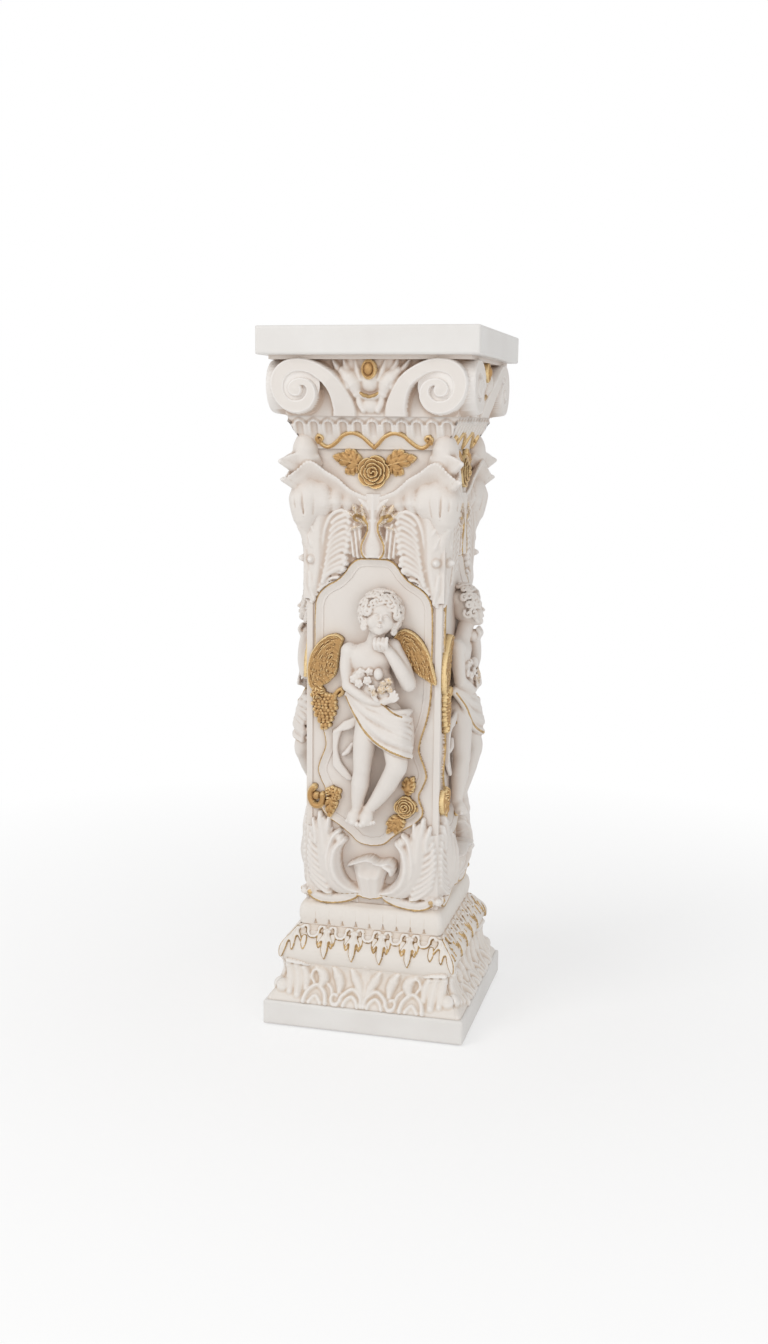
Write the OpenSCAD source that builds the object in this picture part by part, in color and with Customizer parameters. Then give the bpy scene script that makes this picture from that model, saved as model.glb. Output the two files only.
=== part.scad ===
// Square pedestal column of cast resin, in the baroque manner.
// Slabs and mouldings stack on a hollow shaft of four mitred relief panels, and the
// relief castings are set face to face on what carries them. One threaded rod through
// the hollow clamps the stack, and dowels locate the top slab.
// Millimetres, +Z up, origin on the floor at the middle of the foot. The front is -Y.

/* [Slabs] */
// Width of the square top slab
slab_w = 250; // [244:1:280]
// Thickness of the top slab
slab_t = 31; // [20:1:40]
// Width of the square plinth
plinth_w = 240; // [236:1:270]
// Thickness of the plinth
plinth_t = 29; // [22:1:40]
// Radius of the softened edges of both slabs
edge_r = 3; // [1:0.5:5]

/* [Base] */
// Width across the foot of the base casting
foot_w = 232; // [224:1:234]
// Width across the waist of the hollow moulding
waist_w = 194; // [184:1:200]
// Height of the hollow moulding
hollow_h = 39; // [32:1:50]
// Width across the large torus
torus_w = 206; // [200:1:220]
// Height of the large torus
torus_h = 32; // [26:1:38]
// Width across the neck of the base
base_neck_w = 168; // [164:1:174]
// Height of the slope between the torus and the neck
slope_h = 17; // [12:1:26]
// Width across the upper torus
gadroon_w = 174; // [172:1:184]
// Height of the upper torus
gadroon_h = 30; // [24:1:40]
// Notches along one side of the upper torus
notches = 10; // [6:1:12]
// Leaf drops along one side of the base
drops = 4; // [3:1:4]

/* [Shaft] */
// Width of the shaft across its corner strips
shaft_w = 158; // [156:1:164]
// Height of the shaft
shaft_h = 464; // [460:1:520]
// Thickness of a shaft panel
panel_t = 12; // [8:1:20]
// Width of the plain strip at a panel's edge
strip_w = 7; // [4:0.5:8]
// How far the strips stand proud of the panel
strip_proud = 1.5; // [0.5:0.5:3]

/* [Frame on the panel] */
// Height of the wavy frame
frame_h = 336; // [330:1:350]
// Height of the frame's foot above the foot of the shaft
frame_z = 70; // [66:1:80]
// Half the width of the wavy frame
frame_half = 69; // [66:0.5:70]
// Width of the frame's moulding
frame_rail = 9; // [6:0.5:12]
// How far the frame stands proud of the panel
frame_proud = 4; // [2:0.5:6]

/* [Neck and fluting] */
// Width across the neck at its foot
neck_w = 154; // [150:1:156]
// Height of the neck
neck_h = 64; // [60:1:80]
// Width across the foot of the fluted band
flute_foot_w = 159; // [157:1:164]
// Width across the top of the fluted band
flute_top_w = 193; // [186:1:200]
// Height of the fluted band
flute_h = 36; // [32:1:44]
// Flutes along one side
flutes = 11; // [7:2:11]
// Width of a flute
flute_w = 11; // [8:0.5:13]

/* [Capital] */
// Width of the block behind the volutes
core_w = 196; // [190:1:204]
// Height of the capital
capital_h = 64; // [62:1:74]
// Width across the faces of two opposite volutes
volute_w = 238; // [232:1:242]
// Radius of a volute
volute_r = 29.5; // [26:0.5:31]
// Distance of a volute's eye from the middle of the face
eye_x = 80; // [76:1:84]
// Width of a gem
gem_w = 20; // [14:1:24]
// Height of a gem
gem_h = 25; // [18:1:28]

/* [Figure] */
// Height of the figure's soles above the foot of the shaft
figure_z = 99; // [94:1:106]

/* [Hardware] */
// Diameter of the threaded rod
rod_d = 8; // [6:1:10]
// Clearance round the rod in its holes
rod_clear = 1; // [0.5:0.5:2]
// Width of a nut across its flats
nut_w = 13; // [10:1:17]
// Thickness of a nut
nut_t = 6.5; // [5:0.5:8]
// Diameter of a washer
washer_d = 24; // [20:1:30]
// Thickness of a washer
washer_t = 2; // [1:0.5:3]
// Diameter of a slab dowel
dowel_d = 8; // [6:1:10]
// Length of a slab dowel
dowel_l = 30; // [20:1:34]
// Distance of a dowel from the middle, along both axes
dowel_at = 70; // [50:1:80]
// Diameter of a felt pad
pad_d = 36; // [24:1:44]
// Thickness of a felt pad
pad_t = 3; // [2:0.5:5]
// How far a pad stands below the plinth
pad_proud = 1; // [0.5:0.5:2]

/* [Hidden] */
$fn = 48;

// Levels of the stack
plinth_z = pad_proud;
base_z = plinth_z + plinth_t;
torus_z = base_z + hollow_h;
slope_z = torus_z + torus_h * 0.94;
gadroon_z = slope_z + slope_h;
shaft_z = gadroon_z + gadroon_h;
neck_z = shaft_z + shaft_h;
flute_z = neck_z + neck_h;
capital_z = flute_z + flute_h;
slab_z = capital_z + capital_h;

// Distances of the carrying faces from the axis
strip_face = shaft_w / 2;
panel_face = strip_face - strip_proud;
neck_face = neck_w / 2;
core_face = core_w / 2;
volute_face = volute_w / 2;
flute_top = flute_top_w / 2;
reach = max(slab_w, plinth_w);

// Working sizes of the ornament
lip = 2.5;
drop_t = 2;
rod_hole = rod_d + rod_clear;
nut_seat = washer_t + nut_t + 2;
rod_foot = plinth_z + 3;
rod_top = slab_z - 2;
white = "ivory";
gold = "goldenrod";
slab_white = "whitesmoke";

function mix(a, b, t) = a + (b - a) * t;
function unit(v) = v / norm(v);
function mirrored(p) = [for (i = [len(p) - 1:-1:0]) [-p[i][0], p[i][1]]];

// A smooth curve through points, with n steps between two of them
function blend4(a, b, c, d, t) =
    0.5 * (2 * b + (c - a) * t + (2 * a - 5 * b + 4 * c - d) * t * t + (3 * b - a - 3 * c + d) * t * t * t);
function curve(p, n) = [
    for (i = [0:len(p) - 2]) for (k = [0:n - 1])
        blend4(p[max(i - 1, 0)], p[i], p[i + 1], p[min(i + 2, len(p) - 1)], k / n),
    p[len(p) - 1]
];

// An arc of points about c from angle a to angle b
function arc(c, r, a, b, n) = [for (i = [0:n]) c + r * [cos(mix(a, b, i / n)), sin(mix(a, b, i / n))]];

// The two sides of a strip of width w(t) along a path, from w0 at its start to w1 at its end
function side(p, i) =
    let (d = unit(p[min(i + 1, len(p) - 1)] - p[max(i - 1, 0)])) [-d[1], d[0]];
function edge(p, w0, w1) = [
    for (i = [0:len(p) - 1]) p[i] + side(p, i) * mix(w0, w1, i / (len(p) - 1)) / 2
];
module strip(p, w0, w1) {
    a = edge(p, w0, w1);
    b = edge(p, -w0, -w1);
    polygon(concat(a, [for (i = [len(b) - 1:-1:0]) b[i]]));
}

module both() {
    children();
    mirror([1, 0, 0]) children();
}

// The four faces, counted from the front towards the right
module on_face(i, d = 0) rotate([0, 0, 90 * i]) translate([0, -d, 0]) rotate([90, 0, 0]) children();
module all_faces(d = 0) for (i = [0:3]) on_face(i, d) children();

// A moulding that runs round a square: one outline seen along both axes
module round_square() {
    intersection() {
        rotate([90, 0, 0]) linear_extrude(reach + 20, center = true) children();
        rotate([90, 0, 90]) linear_extrude(reach + 20, center = true) children();
    }
}
module outline(p) polygon(concat(p, mirrored(p)));

// The quarter of the plan that belongs to the front face
module front_quarter() {
    linear_extrude(slab_z) polygon([[0, 0], [-reach, -reach], [reach, -reach]]);
}

// A closed skin over rings that have the same number of points
module skin(rings) {
    n = len(rings[0]);
    m = len(rings);
    walls = [
        for (i = [0:m - 2]) for (j = [0:n - 1])
            let (a = i * n + j, b = i * n + (j + 1) % n)
                each [[a, b, b + n], [a, b + n, a + n]]
    ];
    foot = [for (j = [1:n - 2]) [0, j + 1, j]];
    head = [for (j = [1:n - 2]) [(m - 1) * n, (m - 1) * n + j, (m - 1) * n + j + 1]];
    polyhedron([for (r = rings) for (p = r) p], concat(walls, foot, head), convexity = 8);
}

// A limb that tapers between two balls
module limb(a, b, ra, rb, n = 5) {
    hull() {
        translate(a) sphere(ra, $fn = n);
        translate(b) sphere(rb, $fn = n);
    }
}

// Slabs with softened edges
module soft_plate(w, h, r) {
    translate([-w / 2 + r, 0]) square([w - 2 * r, h]);
    translate([-w / 2, r]) square([w, h - 2 * r]);
    for (x = [-w / 2 + r, w / 2 - r]) for (y = [r, h - r]) translate([x, y]) circle(r);
}
module soft_slab(w, h, r) {
    intersection() {
        rotate([90, 0, 0]) linear_extrude(w, center = true) soft_plate(w, h, r);
        rotate([90, 0, 90]) linear_extrude(w, center = true) soft_plate(w, h, r);
        translate([0, -w / 2, 0]) linear_extrude(h) soft_plate(w, w, r);
    }
}

module rod_bore(z, h) translate([0, 0, z]) cylinder(h, d = rod_hole);

pad_at = plinth_w / 2 - 28;
module felt_pads() {
    color("dimgray")
        for (x = [-pad_at, pad_at]) for (y = [-pad_at, pad_at])
            translate([x, y, 0]) cylinder(pad_t, d = pad_d);
}

module plinth_slab() {
    color(slab_white) difference() {
        translate([0, 0, plinth_z]) soft_slab(plinth_w, plinth_t, edge_r);
        for (x = [-pad_at, pad_at]) for (y = [-pad_at, pad_at])
            translate([x, y, -1]) cylinder(pad_t + 1, d = pad_d + 1);
        rod_bore(-1, base_z + 2);
        translate([0, 0, plinth_z - 1]) cylinder(1 + nut_seat + 3, d = washer_d + 1);
    }
}

// Half outline of the base casting, from its foot up
torus_r = torus_h / 2;
torus_c = [torus_w / 2 - torus_r, torus_z + torus_r];
function base_half(o) = concat(
    [[0, base_z], [foot_w / 2 + o, base_z]],
    curve([
        [foot_w / 2 + o, base_z + 3],
        [mix(foot_w, waist_w, 0.58) / 2 + o, base_z + hollow_h * 0.44],
        [waist_w / 2 + o, base_z + hollow_h * 0.9],
        [waist_w / 2 + o, torus_z + 4]
    ], 1),
    arc(torus_c, torus_r + o, -44, 58, 5),
    [[mix(torus_w, base_neck_w, 0.62) / 2 + o, slope_z + slope_h * 0.34],
        [base_neck_w / 2 + 0.8 + o, slope_z + slope_h * 0.8], [base_neck_w / 2 + o, gadroon_z], [0, gadroon_z]]
);

module base_casting() {
    color(white) difference() {
        round_square() outline(base_half(0));
        rod_bore(base_z - 1, gadroon_z);
    }
}

// Lobes, arched ribs and corner leaves that stand in the hollow moulding
function hollow_face(z) = let (t = z / hollow_h) mix(foot_w, waist_w, min(1, 1.32 * t - 0.3 * t * t)) / 2;
function in_hollow(x, z) = [x, -hollow_face(z), base_z + z];
module lobe(x0, z0, x1, z1, r) limb(in_hollow(x0, z0), in_hollow(x1, z1), r * 0.7, r, 4);
module arch(x, r, w) rotate([90, 0, 0]) translate([x, base_z, hollow_face(r * 0.6) - 3]) linear_extrude(7)
    difference() {
        circle(r, $fn = 8);
        circle(r - w, $fn = 8);
        translate([-r, -2 * r]) square(2 * r);
    }
module side_lobes() {
    arch(19, 16, 3.6);
    lobe(40, 5, 45, 14, 4);
    lobe(45, 14, 37, 36, 4.4);
    arch(66, 14, 3.8);
    lobe(84, 6, 84, 30, 7);
    lobe(103, 8, 94, 32, 6);
}
module base_lobes() {
    color(white) for (i = [0:3]) rotate([0, 0, 90 * i]) intersection() {
        difference() {
            union() {
                lobe(0, 6, 0, 40, 7.5);
                both() side_lobes();
            }
            round_square() outline(base_half(0));
        }
        front_quarter();
        translate([0, 0, base_z]) linear_extrude(hollow_h + 8) square(reach, center = true);
    }
}

// Leaf drops over the slope and the torus
drop_pitch = (torus_w - 8) / (drops + 2);
module drop_outline() {
    strip([[0, gadroon_z - 1], [0, slope_z + 3], [0, torus_z + torus_r - 1]], 9, 3);
    both() strip([[3, slope_z - 6], [8, slope_z + 4], [4, slope_z + 15]], 3, 4.5);
}
module corner_drop_outline() {
    polygon([[torus_w / 2 + 4, gadroon_z], [base_neck_w / 2 - 5, gadroon_z], [base_neck_w / 2 - 8, slope_z + 5],
        [base_neck_w / 2 + 1, slope_z - 5], [torus_w / 2 + 4, torus_z + torus_r - 6]]);
    strip([[base_neck_w / 2 - 6, slope_z + 5], [base_neck_w / 2 - 13, slope_z + 2],
        [base_neck_w / 2 - 14, slope_z - 6]], 6, 2);
}
module leaf_drops() {
    color(white) for (i = [0:3]) rotate([0, 0, 90 * i]) intersection() {
        difference() {
            rotate([90, 0, 90]) linear_extrude(reach, center = true) outline(base_half(drop_t));
            rotate([90, 0, 90]) linear_extrude(reach + 2, center = true) outline(base_half(0));
        }
        rotate([90, 0, 0]) linear_extrude(reach) {
            for (k = [0:drops - 1]) translate([(k - (drops - 1) / 2) * drop_pitch, 0]) drop_outline();
            both() corner_drop_outline();
        }
        front_quarter();
    }
}

notch_pitch = (gadroon_w - 14) / notches;
module gadroon_torus() {
    half = concat([[0, gadroon_z]], curve([
        [base_neck_w / 2 - 1, gadroon_z], [gadroon_w / 2 - 1, gadroon_z + gadroon_h * 0.15],
        [gadroon_w / 2, gadroon_z + gadroon_h * 0.45], [gadroon_w / 2 - 1.6, gadroon_z + gadroon_h * 0.7],
        [gadroon_w / 2 - 5, gadroon_z + gadroon_h * 0.9], [strip_face, shaft_z]
    ], 4), [[0, shaft_z]]);
    color(white) difference() {
        round_square() outline(half);
        rod_bore(gadroon_z - 1, gadroon_h + 2);
        all_faces(gadroon_w / 2 - 3) for (k = [0:notches - 1])
            translate([(k - (notches - 1) / 2) * notch_pitch, gadroon_z + 2, 0]) linear_extrude(5)
                polygon([[-2.6, 0], [2.6, 0], [0, gadroon_h * 0.3]]);
    }
}

module shaft_panel(i) {
    s = strip_face;
    color(white) rotate([0, 0, 90 * i]) translate([0, 0, shaft_z]) linear_extrude(shaft_h) polygon([
        [-s, -s], [-s + strip_w, -s], [-s + strip_w, -panel_face],
        [s - strip_w, -panel_face], [s - strip_w, -s], [s, -s],
        [s - panel_t, -s + panel_t], [-s + panel_t, -s + panel_t]
    ]);
}

// Wavy frame: half of its outer line from the foot to the crown
frame_foot = shaft_z + frame_z;
frame_top = frame_foot + frame_h;
function frame_side(o) = let (h = frame_half, z = frame_foot, t = frame_top) curve([
    [0, z + o], [15 - o * 0.3, z + 3 + o], [26 - o * 0.5, z + 13 + o * 0.8],
    [38 - o * 0.6, z + 22 + o * 0.7], [h - 15 - o * 0.8, z + 33 + o * 0.4],
    [h - 8 - o, z + 46], [h - 12 - o, z + 63], [h - 5 - o, z + 77],
    [h - 3 - o, z + 88], [h - 8 - o, z + 103], [h - 13 - o, z + 119], [h - 10 - o, z + 134],
    [h - 4 - o, z + 155], [h - o, z + 185], [h - o, t - 66],
    [h - 4 - o, t - 44], [h - 14 - o * 0.8, t - 31 - o * 0.4], [h - 27 - o * 0.6, t - 24 - o * 0.8],
    [h - 35 - o * 0.7, t - 14 - o * 0.6], [h - 43 - o * 0.6, t - 4 - o * 0.8], [h - 55, t - o], [0, t - o]
], 2);
module frame_ring(a, b) difference() {
    outline(frame_side(a));
    outline(frame_side(b));
}
module frame(i) {
    color(white) on_face(i, panel_face) {
        linear_extrude(frame_proud) frame_ring(0, 3);
        linear_extrude(frame_proud * 0.6) frame_ring(3, frame_rail);
    }
}

// What already stands on the panel, for pieces that lie over it
module panel_relief() {
    linear_extrude(frame_proud) frame_ring(0, frame_rail);
    for (s = [0, 1]) mirror([s, 0, 0]) translate([strip_face - strip_w, shaft_z, -1])
        cube([strip_w + 1, shaft_h, strip_proud + 1]);
}
module beside_frame() linear_extrude(60, center = true) outline(frame_side(0));

// A leaf in relief along a path on the face: crest height h, and an edge at w cut into lobes
function leaf_ring(p, n, w, h, e) = [
    [p[0] - n[0] * w * 0.5, p[1] - n[1] * w * 0.5, 0],
    [p[0] - n[0] * w * 0.4, p[1] - n[1] * w * 0.4, h * 0.6],
    [p[0], p[1], h],
    [p[0] + n[0] * (w + e), p[1] + n[1] * (w + e), h * 0.4],
    [p[0] + n[0] * (w + e), p[1] + n[1] * (w + e), 0]
];
function flip(p) = [for (i = [len(p) - 1:-1:0]) p[i]];
module relief_leaf(path, w, h, cut) {
    m = len(path);
    skin([for (i = [0:m - 1])
        let (t = i / (m - 1), f = sin(180 * pow(t, 0.8)) * 0.9 + 0.1,
             r = leaf_ring(path[i], side(path, i), w * f, h * (0.4 + 0.6 * f), -cut * (i % 2) * f))
            w < 0 ? flip(r) : r]);
}

leaf_foot = shaft_z + 18;
module foot_leaf() {
    relief_leaf(curve([[14, leaf_foot], [34, leaf_foot + 7], [48, leaf_foot + 24], [53, leaf_foot + 46],
        [57, leaf_foot + 66], [62, leaf_foot + 82]], 2), -13, 13, -7);
    relief_leaf(curve([[12, leaf_foot + 4], [30, leaf_foot + 10], [41, leaf_foot + 27],
        [40, leaf_foot + 44], [32, leaf_foot + 53]], 2), 7, 7, 0);
}
// The lily between the leaves leans out from its foot to a curled lip
lip_out = 20;
module shell_flute(x, z, r) limb([x * 0.4, leaf_foot + 2, 4], [x, z, lip_out], 7, r, 5);
module swag_line() {
    strip(curve([[0, leaf_foot - 9], [10, leaf_foot - 6], [28, leaf_foot - 12], [50, leaf_foot - 15.5],
        [66, leaf_foot - 14], [71, leaf_foot - 8]], 2), 3, 3);
    strip(curve([[10, leaf_foot - 5], [30, leaf_foot - 8], [52, leaf_foot - 9], [66, leaf_foot - 8]], 2), 2.6, 2);
}
module foot_leaves(i) {
    color(white) on_face(i, panel_face) difference() {
        union() {
            both() foot_leaf();
            for (k = [-2:2]) shell_flute(k * 9, leaf_foot + 36 - k * k * 1.4, 6.5);
            for (s = [-1, 1]) limb([s * 24, leaf_foot + 30, lip_out - 2], [0, leaf_foot + 40, lip_out + 3], 4, 5, 5);
            both() {
                linear_extrude(5) swag_line();
                translate([69.5, leaf_foot - 9, 0]) sphere(6.5, $fn = 8);
            }
        }
        beside_frame();
        panel_relief();
        translate([-reach, 0, -reach]) cube([2 * reach, 2 * reach, reach]);
    }
}

// The figure: places as across, up from the soles, and out from the panel
sole = shaft_z + figure_z;
crown_pt = [9, 247, 14];
chin_pt = [15, 222, 19];
neck_pt = [4, 212, 10];
chest_pt = [-2, 190, 8];
belly_pt = [9, 146, 7];
hip_l = [-9, 112, 7];
hip_r = [30, 118, 6];
knee_l = [-11, 76, 10];
knee_r = [32, 84, 12];
ankle_l = [-18, 22, 8];
ankle_r = [-2, 22, 9];
toe_l = [-20, 7, 12];
toe_r = [-4, 6, 13];
shoulder_l = [-28, 198, 8];
elbow_l = [-28, 158, 12];
hand_l = [24, 158, 21];
shoulder_r = [24, 196, 8];
elbow_r = [44, 165, 10];
fist_r = [14, 206, 21];

module curl(at, r) translate(at) sphere(r, $fn = 5);
module head() {
    hull() {
        translate(crown_pt) sphere(20, $fn = 7);
        translate(chin_pt + [-2, 7, -5]) sphere(13, $fn = 6);
    }
    limb(chin_pt + [0, 4, 1], chin_pt + [-1, 1, 2], 8, 6, 4);
    limb(neck_pt, chin_pt + [-6, 8, -8], 10, 11);
    for (a = [-20:55:200]) curl(crown_pt + [22 * cos(a), 18 * sin(a) + 4, -4], 12);
    curl(crown_pt + [-8, 14, 7], 11);
    curl(crown_pt + [8, 14, 7], 11);
}
module drape() {
    limb([-24, 138, 8], [38, 120, 5], 11, 12.5, 4);
    limb([-20, 126, 8], [40, 96, 6], 11, 12.5, 4);
    limb([45, 128, 3], [44, 88, 3], 7, 9, 4);
    limb([-22, 112, 4], [-44, 92, 3], 7, 8, 4);
    limb([-44, 92, 3], [-26, 52, 3], 8, 5, 4);
}
module figure() {
    head();
    limb(chest_pt, belly_pt, 20, 20, 6);
    limb(shoulder_l, elbow_l, 13, 10.5);
    limb(elbow_l, hand_l, 10.5, 8);
    limb(shoulder_r, elbow_r, 12.5, 10);
    limb(elbow_r, fist_r, 10, 9);
    limb(hip_l, knee_l, 16, 13.5);
    limb(knee_l, ankle_l, 13.5, 8);
    limb(ankle_l, toe_l, 8.5, 6, 4);
    limb(hip_r, knee_r, 16, 14);
    limb(knee_r, ankle_r, 14, 8);
    limb(ankle_r, toe_r, 8.5, 6, 4);
    drape();
    for (k = [0:1]) curl([-12 + 14 * k, 168, 20], 11);
}
module cherub(i) {
    color(white) on_face(i, panel_face) difference() {
        translate([0, sole, 0]) figure();
        linear_extrude(frame_proud) frame_ring(0, frame_rail);
        translate([-reach, 0, -reach]) cube([2 * reach, 2 * slab_z, reach]);
    }
}

// Wings: a smooth leading edge over rows of feathers
wing_root = [28, 206];
module wing_outline() polygon(curve([wing_root, [36, 219], [48, 219], [60, 208], [69, 190], [73, 170],
    [70, 156], [60, 162], [50, 168], [44, 180], [34, 190], wing_root], 2));
module feather(a, l, w) translate(wing_root + [14, 2]) rotate(a) strip([[6, 0], [l * 0.6, -1], [l, 0]], w, w * 0.7);
module wing() {
    linear_extrude(3) wing_outline();
    linear_extrude(5) intersection() {
        wing_outline();
        for (k = [0:5]) feather(-108 + 15 * k, 46 - 3 * k, 7);
    }
    linear_extrude(7) intersection() {
        wing_outline();
        for (k = [0:4]) feather(-100 + 19 * k, 26 - k, 6.4);
        translate(wing_root) circle(6);
    }
    linear_extrude(8) strip(curve([wing_root, [36, 217], [48, 217], [60, 206], [68, 190]], 3), 5, 3);
}
module wings(i) {
    color(gold) on_face(i, panel_face) difference() {
        translate([0, sole, 0]) {
            wing();
            translate([-5, -7, 0]) mirror([1, 0, 0]) wing();
        }
        translate([0, sole, 0]) linear_extrude(60, center = true) arm_gap();
        panel_relief();
    }
}
// Plan of the arms that the wings come out from behind, as place, radius, place, radius
module arm_gap() {
    for (s = [[shoulder_l, 13.2, elbow_l, 10.7], [shoulder_r, 12.2, elbow_r, 10.2], [elbow_r, 10.2, fist_r, 9.2]])
        hull() {
            translate([s[0][0], s[0][1]]) circle(s[1], $fn = 20);
            translate([s[2][0], s[2][1]]) circle(s[3], $fn = 20);
        }
}

// Gold fruit, flowers and leaves round the figure, each laid up from cut shapes
function petals(r, n, k) = [for (a = [0:360 / (n * k):359]) r * (0.86 + 0.14 * cos(n * a)) * [cos(a), sin(a)]];
module rose(x, z, r) translate([x, z, 0]) {
    linear_extrude(5) polygon(petals(r, 5, 5));
    linear_extrude(7.5) rotate(36) polygon(petals(r * 0.72, 5, 4));
    linear_extrude(9.5) polygon(petals(r * 0.46, 5, 4));
    linear_extrude(11) circle(r * 0.18);
}
module leaflet(x, z, a, l, w) translate([x, z, 0]) rotate(a) {
    linear_extrude(3) polygon([[0, -w * 0.12], [0, w * 0.12], [l * 0.2, w * 0.36], [l * 0.3, w * 0.3],
        [l * 0.46, w * 0.5], [l * 0.58, w * 0.36], [l * 0.74, w * 0.34], [l, 0], [l * 0.74, -w * 0.34],
        [l * 0.58, -w * 0.36], [l * 0.46, -w * 0.5], [l * 0.3, -w * 0.3], [l * 0.2, -w * 0.36]]);
    linear_extrude(5) strip([[l * 0.06, 0], [l * 0.5, 0], [l * 0.9, 0]], 3, 1);
}
module berry(x, z) translate([x, z, 0]) {
    cylinder(5, r = 5.2);
    cylinder(7.5, r = 3.4);
}
module fruit() {
    for (row = [0:2]) for (k = [0:2 - row]) berry(-64 + 5 * row + 10.8 * k, 140 - 9.6 * row);
    leaflet(-48, 150, 60, 13, 10);
    leaflet(-53, 149, 140, 13, 11);
    leaflet(-58, 26, 165, 18, 12);
    leaflet(-50, 26, 20, 20, 14);
    leaflet(-50, 18, -75, 18, 9);
    rose(42, 18, 14);
    leaflet(43, 35, 80, 18, 13);
    leaflet(34, 0, -120, 20, 12);
}
module gilt_fruit(i) {
    color(gold) on_face(i, panel_face) difference() {
        translate([0, sole, 0]) fruit();
        panel_relief();
    }
}

// Crest over the frame: lily vase between two fronds of long fingers
crest_z = frame_top;
function vase_side(o) = curve([[4 + o, crest_z + 1], [10 + o, crest_z + 6], [12.5 + o, crest_z + 15],
    [8 + o, crest_z + 26], [5 + o, crest_z + 36], [8 + o, crest_z + 42], [20 + o, crest_z + 46]], 2);
module vase_body() outline(concat(vase_side(0), [[25, crest_z + 53], [13, crest_z + 52], [6, crest_z + 60]]));
module finger(x0, z0, x1, z1, w) strip([[x0, crest_z + z0], [(x0 + x1) / 2 + 2, crest_z + (z0 + z1) / 2 - 3],
    [x1, crest_z + z1]], w, w * 0.7);
module frond() {
    for (k = [0:5]) finger(64 - k * 1.5, -20 + 10.6 * k, 40 - k * 2.4, -9 + 11 * k, 6.4);
    strip(curve([[66, crest_z - 22], [67, crest_z + 6], [60, crest_z + 32], [48, crest_z + 46]], 2), 9, 6);
    finger(18, 6, 17, 29, 6);
    finger(25, 2, 26, 28, 6);
    finger(32, -5, 34, 20, 6);
}
module crest(i) {
    color(white) on_face(i, panel_face) difference() {
        union() {
            linear_extrude(4) {
                difference() {
                    both() frond();
                    outline(concat([[0, crest_z - 30]], vase_side(1)));
                }
                vase_body();
            }
            linear_extrude(6) both() strip(vase_side(-1.2), 2.4, 2.4);
        }
        beside_frame();
        panel_relief();
    }
}

neck_top_face = flute_foot_w / 2 - 1.5;
module neck_half() outline([[neck_face, neck_z], [neck_face + 0.4, neck_z + neck_h * 0.5],
    [neck_top_face, flute_z]]);
module neck_bell() {
    color(white) difference() {
        round_square() neck_half();
        rod_bore(neck_z - 1, neck_h + 2);
    }
}

// Corner leaves: two cupped tiers that fold round the corner, each with a thin rolled lip
// Places on the front face: across from the corner, up from the shaft's head, and out
function on_corner(u, z, h) = [-strip_face + u - (u == 0 ? h : 0), -strip_face - h, neck_z + z];
module on_edge(z, r) translate([-strip_face, -strip_face, neck_z + z]) sphere(r, $fn = 4);
module cup(z, r, u1, z1, r1) hull() {
    translate(on_corner(0, z, r * 0.32)) sphere(r, $fn = 8);
    translate(on_corner(u1, z1, 0)) sphere(r1, $fn = 4);
}
module rolled_lip(z, out, u1, z1) hull() {
    translate(on_corner(0, z, out)) sphere(2.4, $fn = 4);
    translate(on_corner(0, z - 5, 3)) sphere(6, $fn = 4);
    translate(on_corner(u1, z1, 1)) sphere(3, $fn = 4);
}
module half_corner() {
    cup(9, 17, 34, 4, 9);
    rolled_lip(28, 20, 44, 14);
    cup(32, 13, 24, 24, 9);
    rolled_lip(47, 21, 28, 32);
    limb(on_corner(46, 9, 0), on_corner(58, 4, 0), 7, 5, 4);
}
module corner_leaves(i) {
    color(white) rotate([0, 0, 90 * i]) difference() {
        union() {
            half_corner();
            multmatrix([[0, 1, 0], [1, 0, 0], [0, 0, 1]]) half_corner();
            limb(on_corner(0, 52, 4), on_corner(0, 68, 6), 8, 9, 8);
            limb(on_corner(0, -16, 1), on_corner(0, -30, 0), 9, 7, 8);
            on_edge(-66, 7);
        }
        translate([-strip_face, -strip_face, 0]) cube([shaft_w, shaft_w, neck_z]);
        round_square() neck_half();
        round_square() flute_half();
    }
}

// Gold rose with two serrated leaves on the bowl field
spray_z = neck_z + 37;
module rose_spray(i) {
    color(gold) on_face(i, neck_top_face) {
        rose(0, spray_z, 18.5);
        both() {
            leaflet(15, spray_z + 4, 22, 34, 19);
            leaflet(17, spray_z + 1, -12, 24, 11);
            leaflet(18, spray_z + 8, 58, 18, 10);
        }
    }
}

// Fluted band: a flared moulding with hooded flutes, and lunettes under the gold rail
module flute_half() outline(curve([
    [flute_foot_w / 2, flute_z], [mix(flute_foot_w, flute_top_w, 0.3) / 2, flute_z + flute_h * 0.25],
    [mix(flute_foot_w, flute_top_w, 0.5) / 2, flute_z + flute_h * 0.5],
    [mix(flute_foot_w, flute_top_w, 0.58) / 2, flute_z + flute_h * 0.68],
    [mix(flute_foot_w, flute_top_w, 0.85) / 2, flute_z + flute_h * 0.84],
    [flute_top - 0.2, flute_z + flute_h * 0.95], [flute_top, capital_z]
], 2));
flute_pitch = (flute_top_w - 24) / flutes;
flute_floor = mix(flute_foot_w, flute_top_w, 0.38) / 2;
rail_face = mix(flute_foot_w, flute_top_w, 0.5) / 2 + 1;
rail_path = curve([
    [0, flute_z + 1.8], [9, flute_z + 7], [17, flute_z + 13.5], [24, flute_z + 15.4], [32, flute_z + 13],
    [42, flute_z + 6], [50, flute_z + 2.2], [57, flute_z + 1.6], [63, flute_z + 4], [64.5, flute_z + 9],
    [61, flute_z + 12], [57.5, flute_z + 9.5]
], 2);
module lunette() polygon(concat([[3, flute_z]], [for (p = rail_path) if (p[0] < 50 && p[1] > flute_z + 2) p],
    [[50, flute_z]]));
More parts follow.
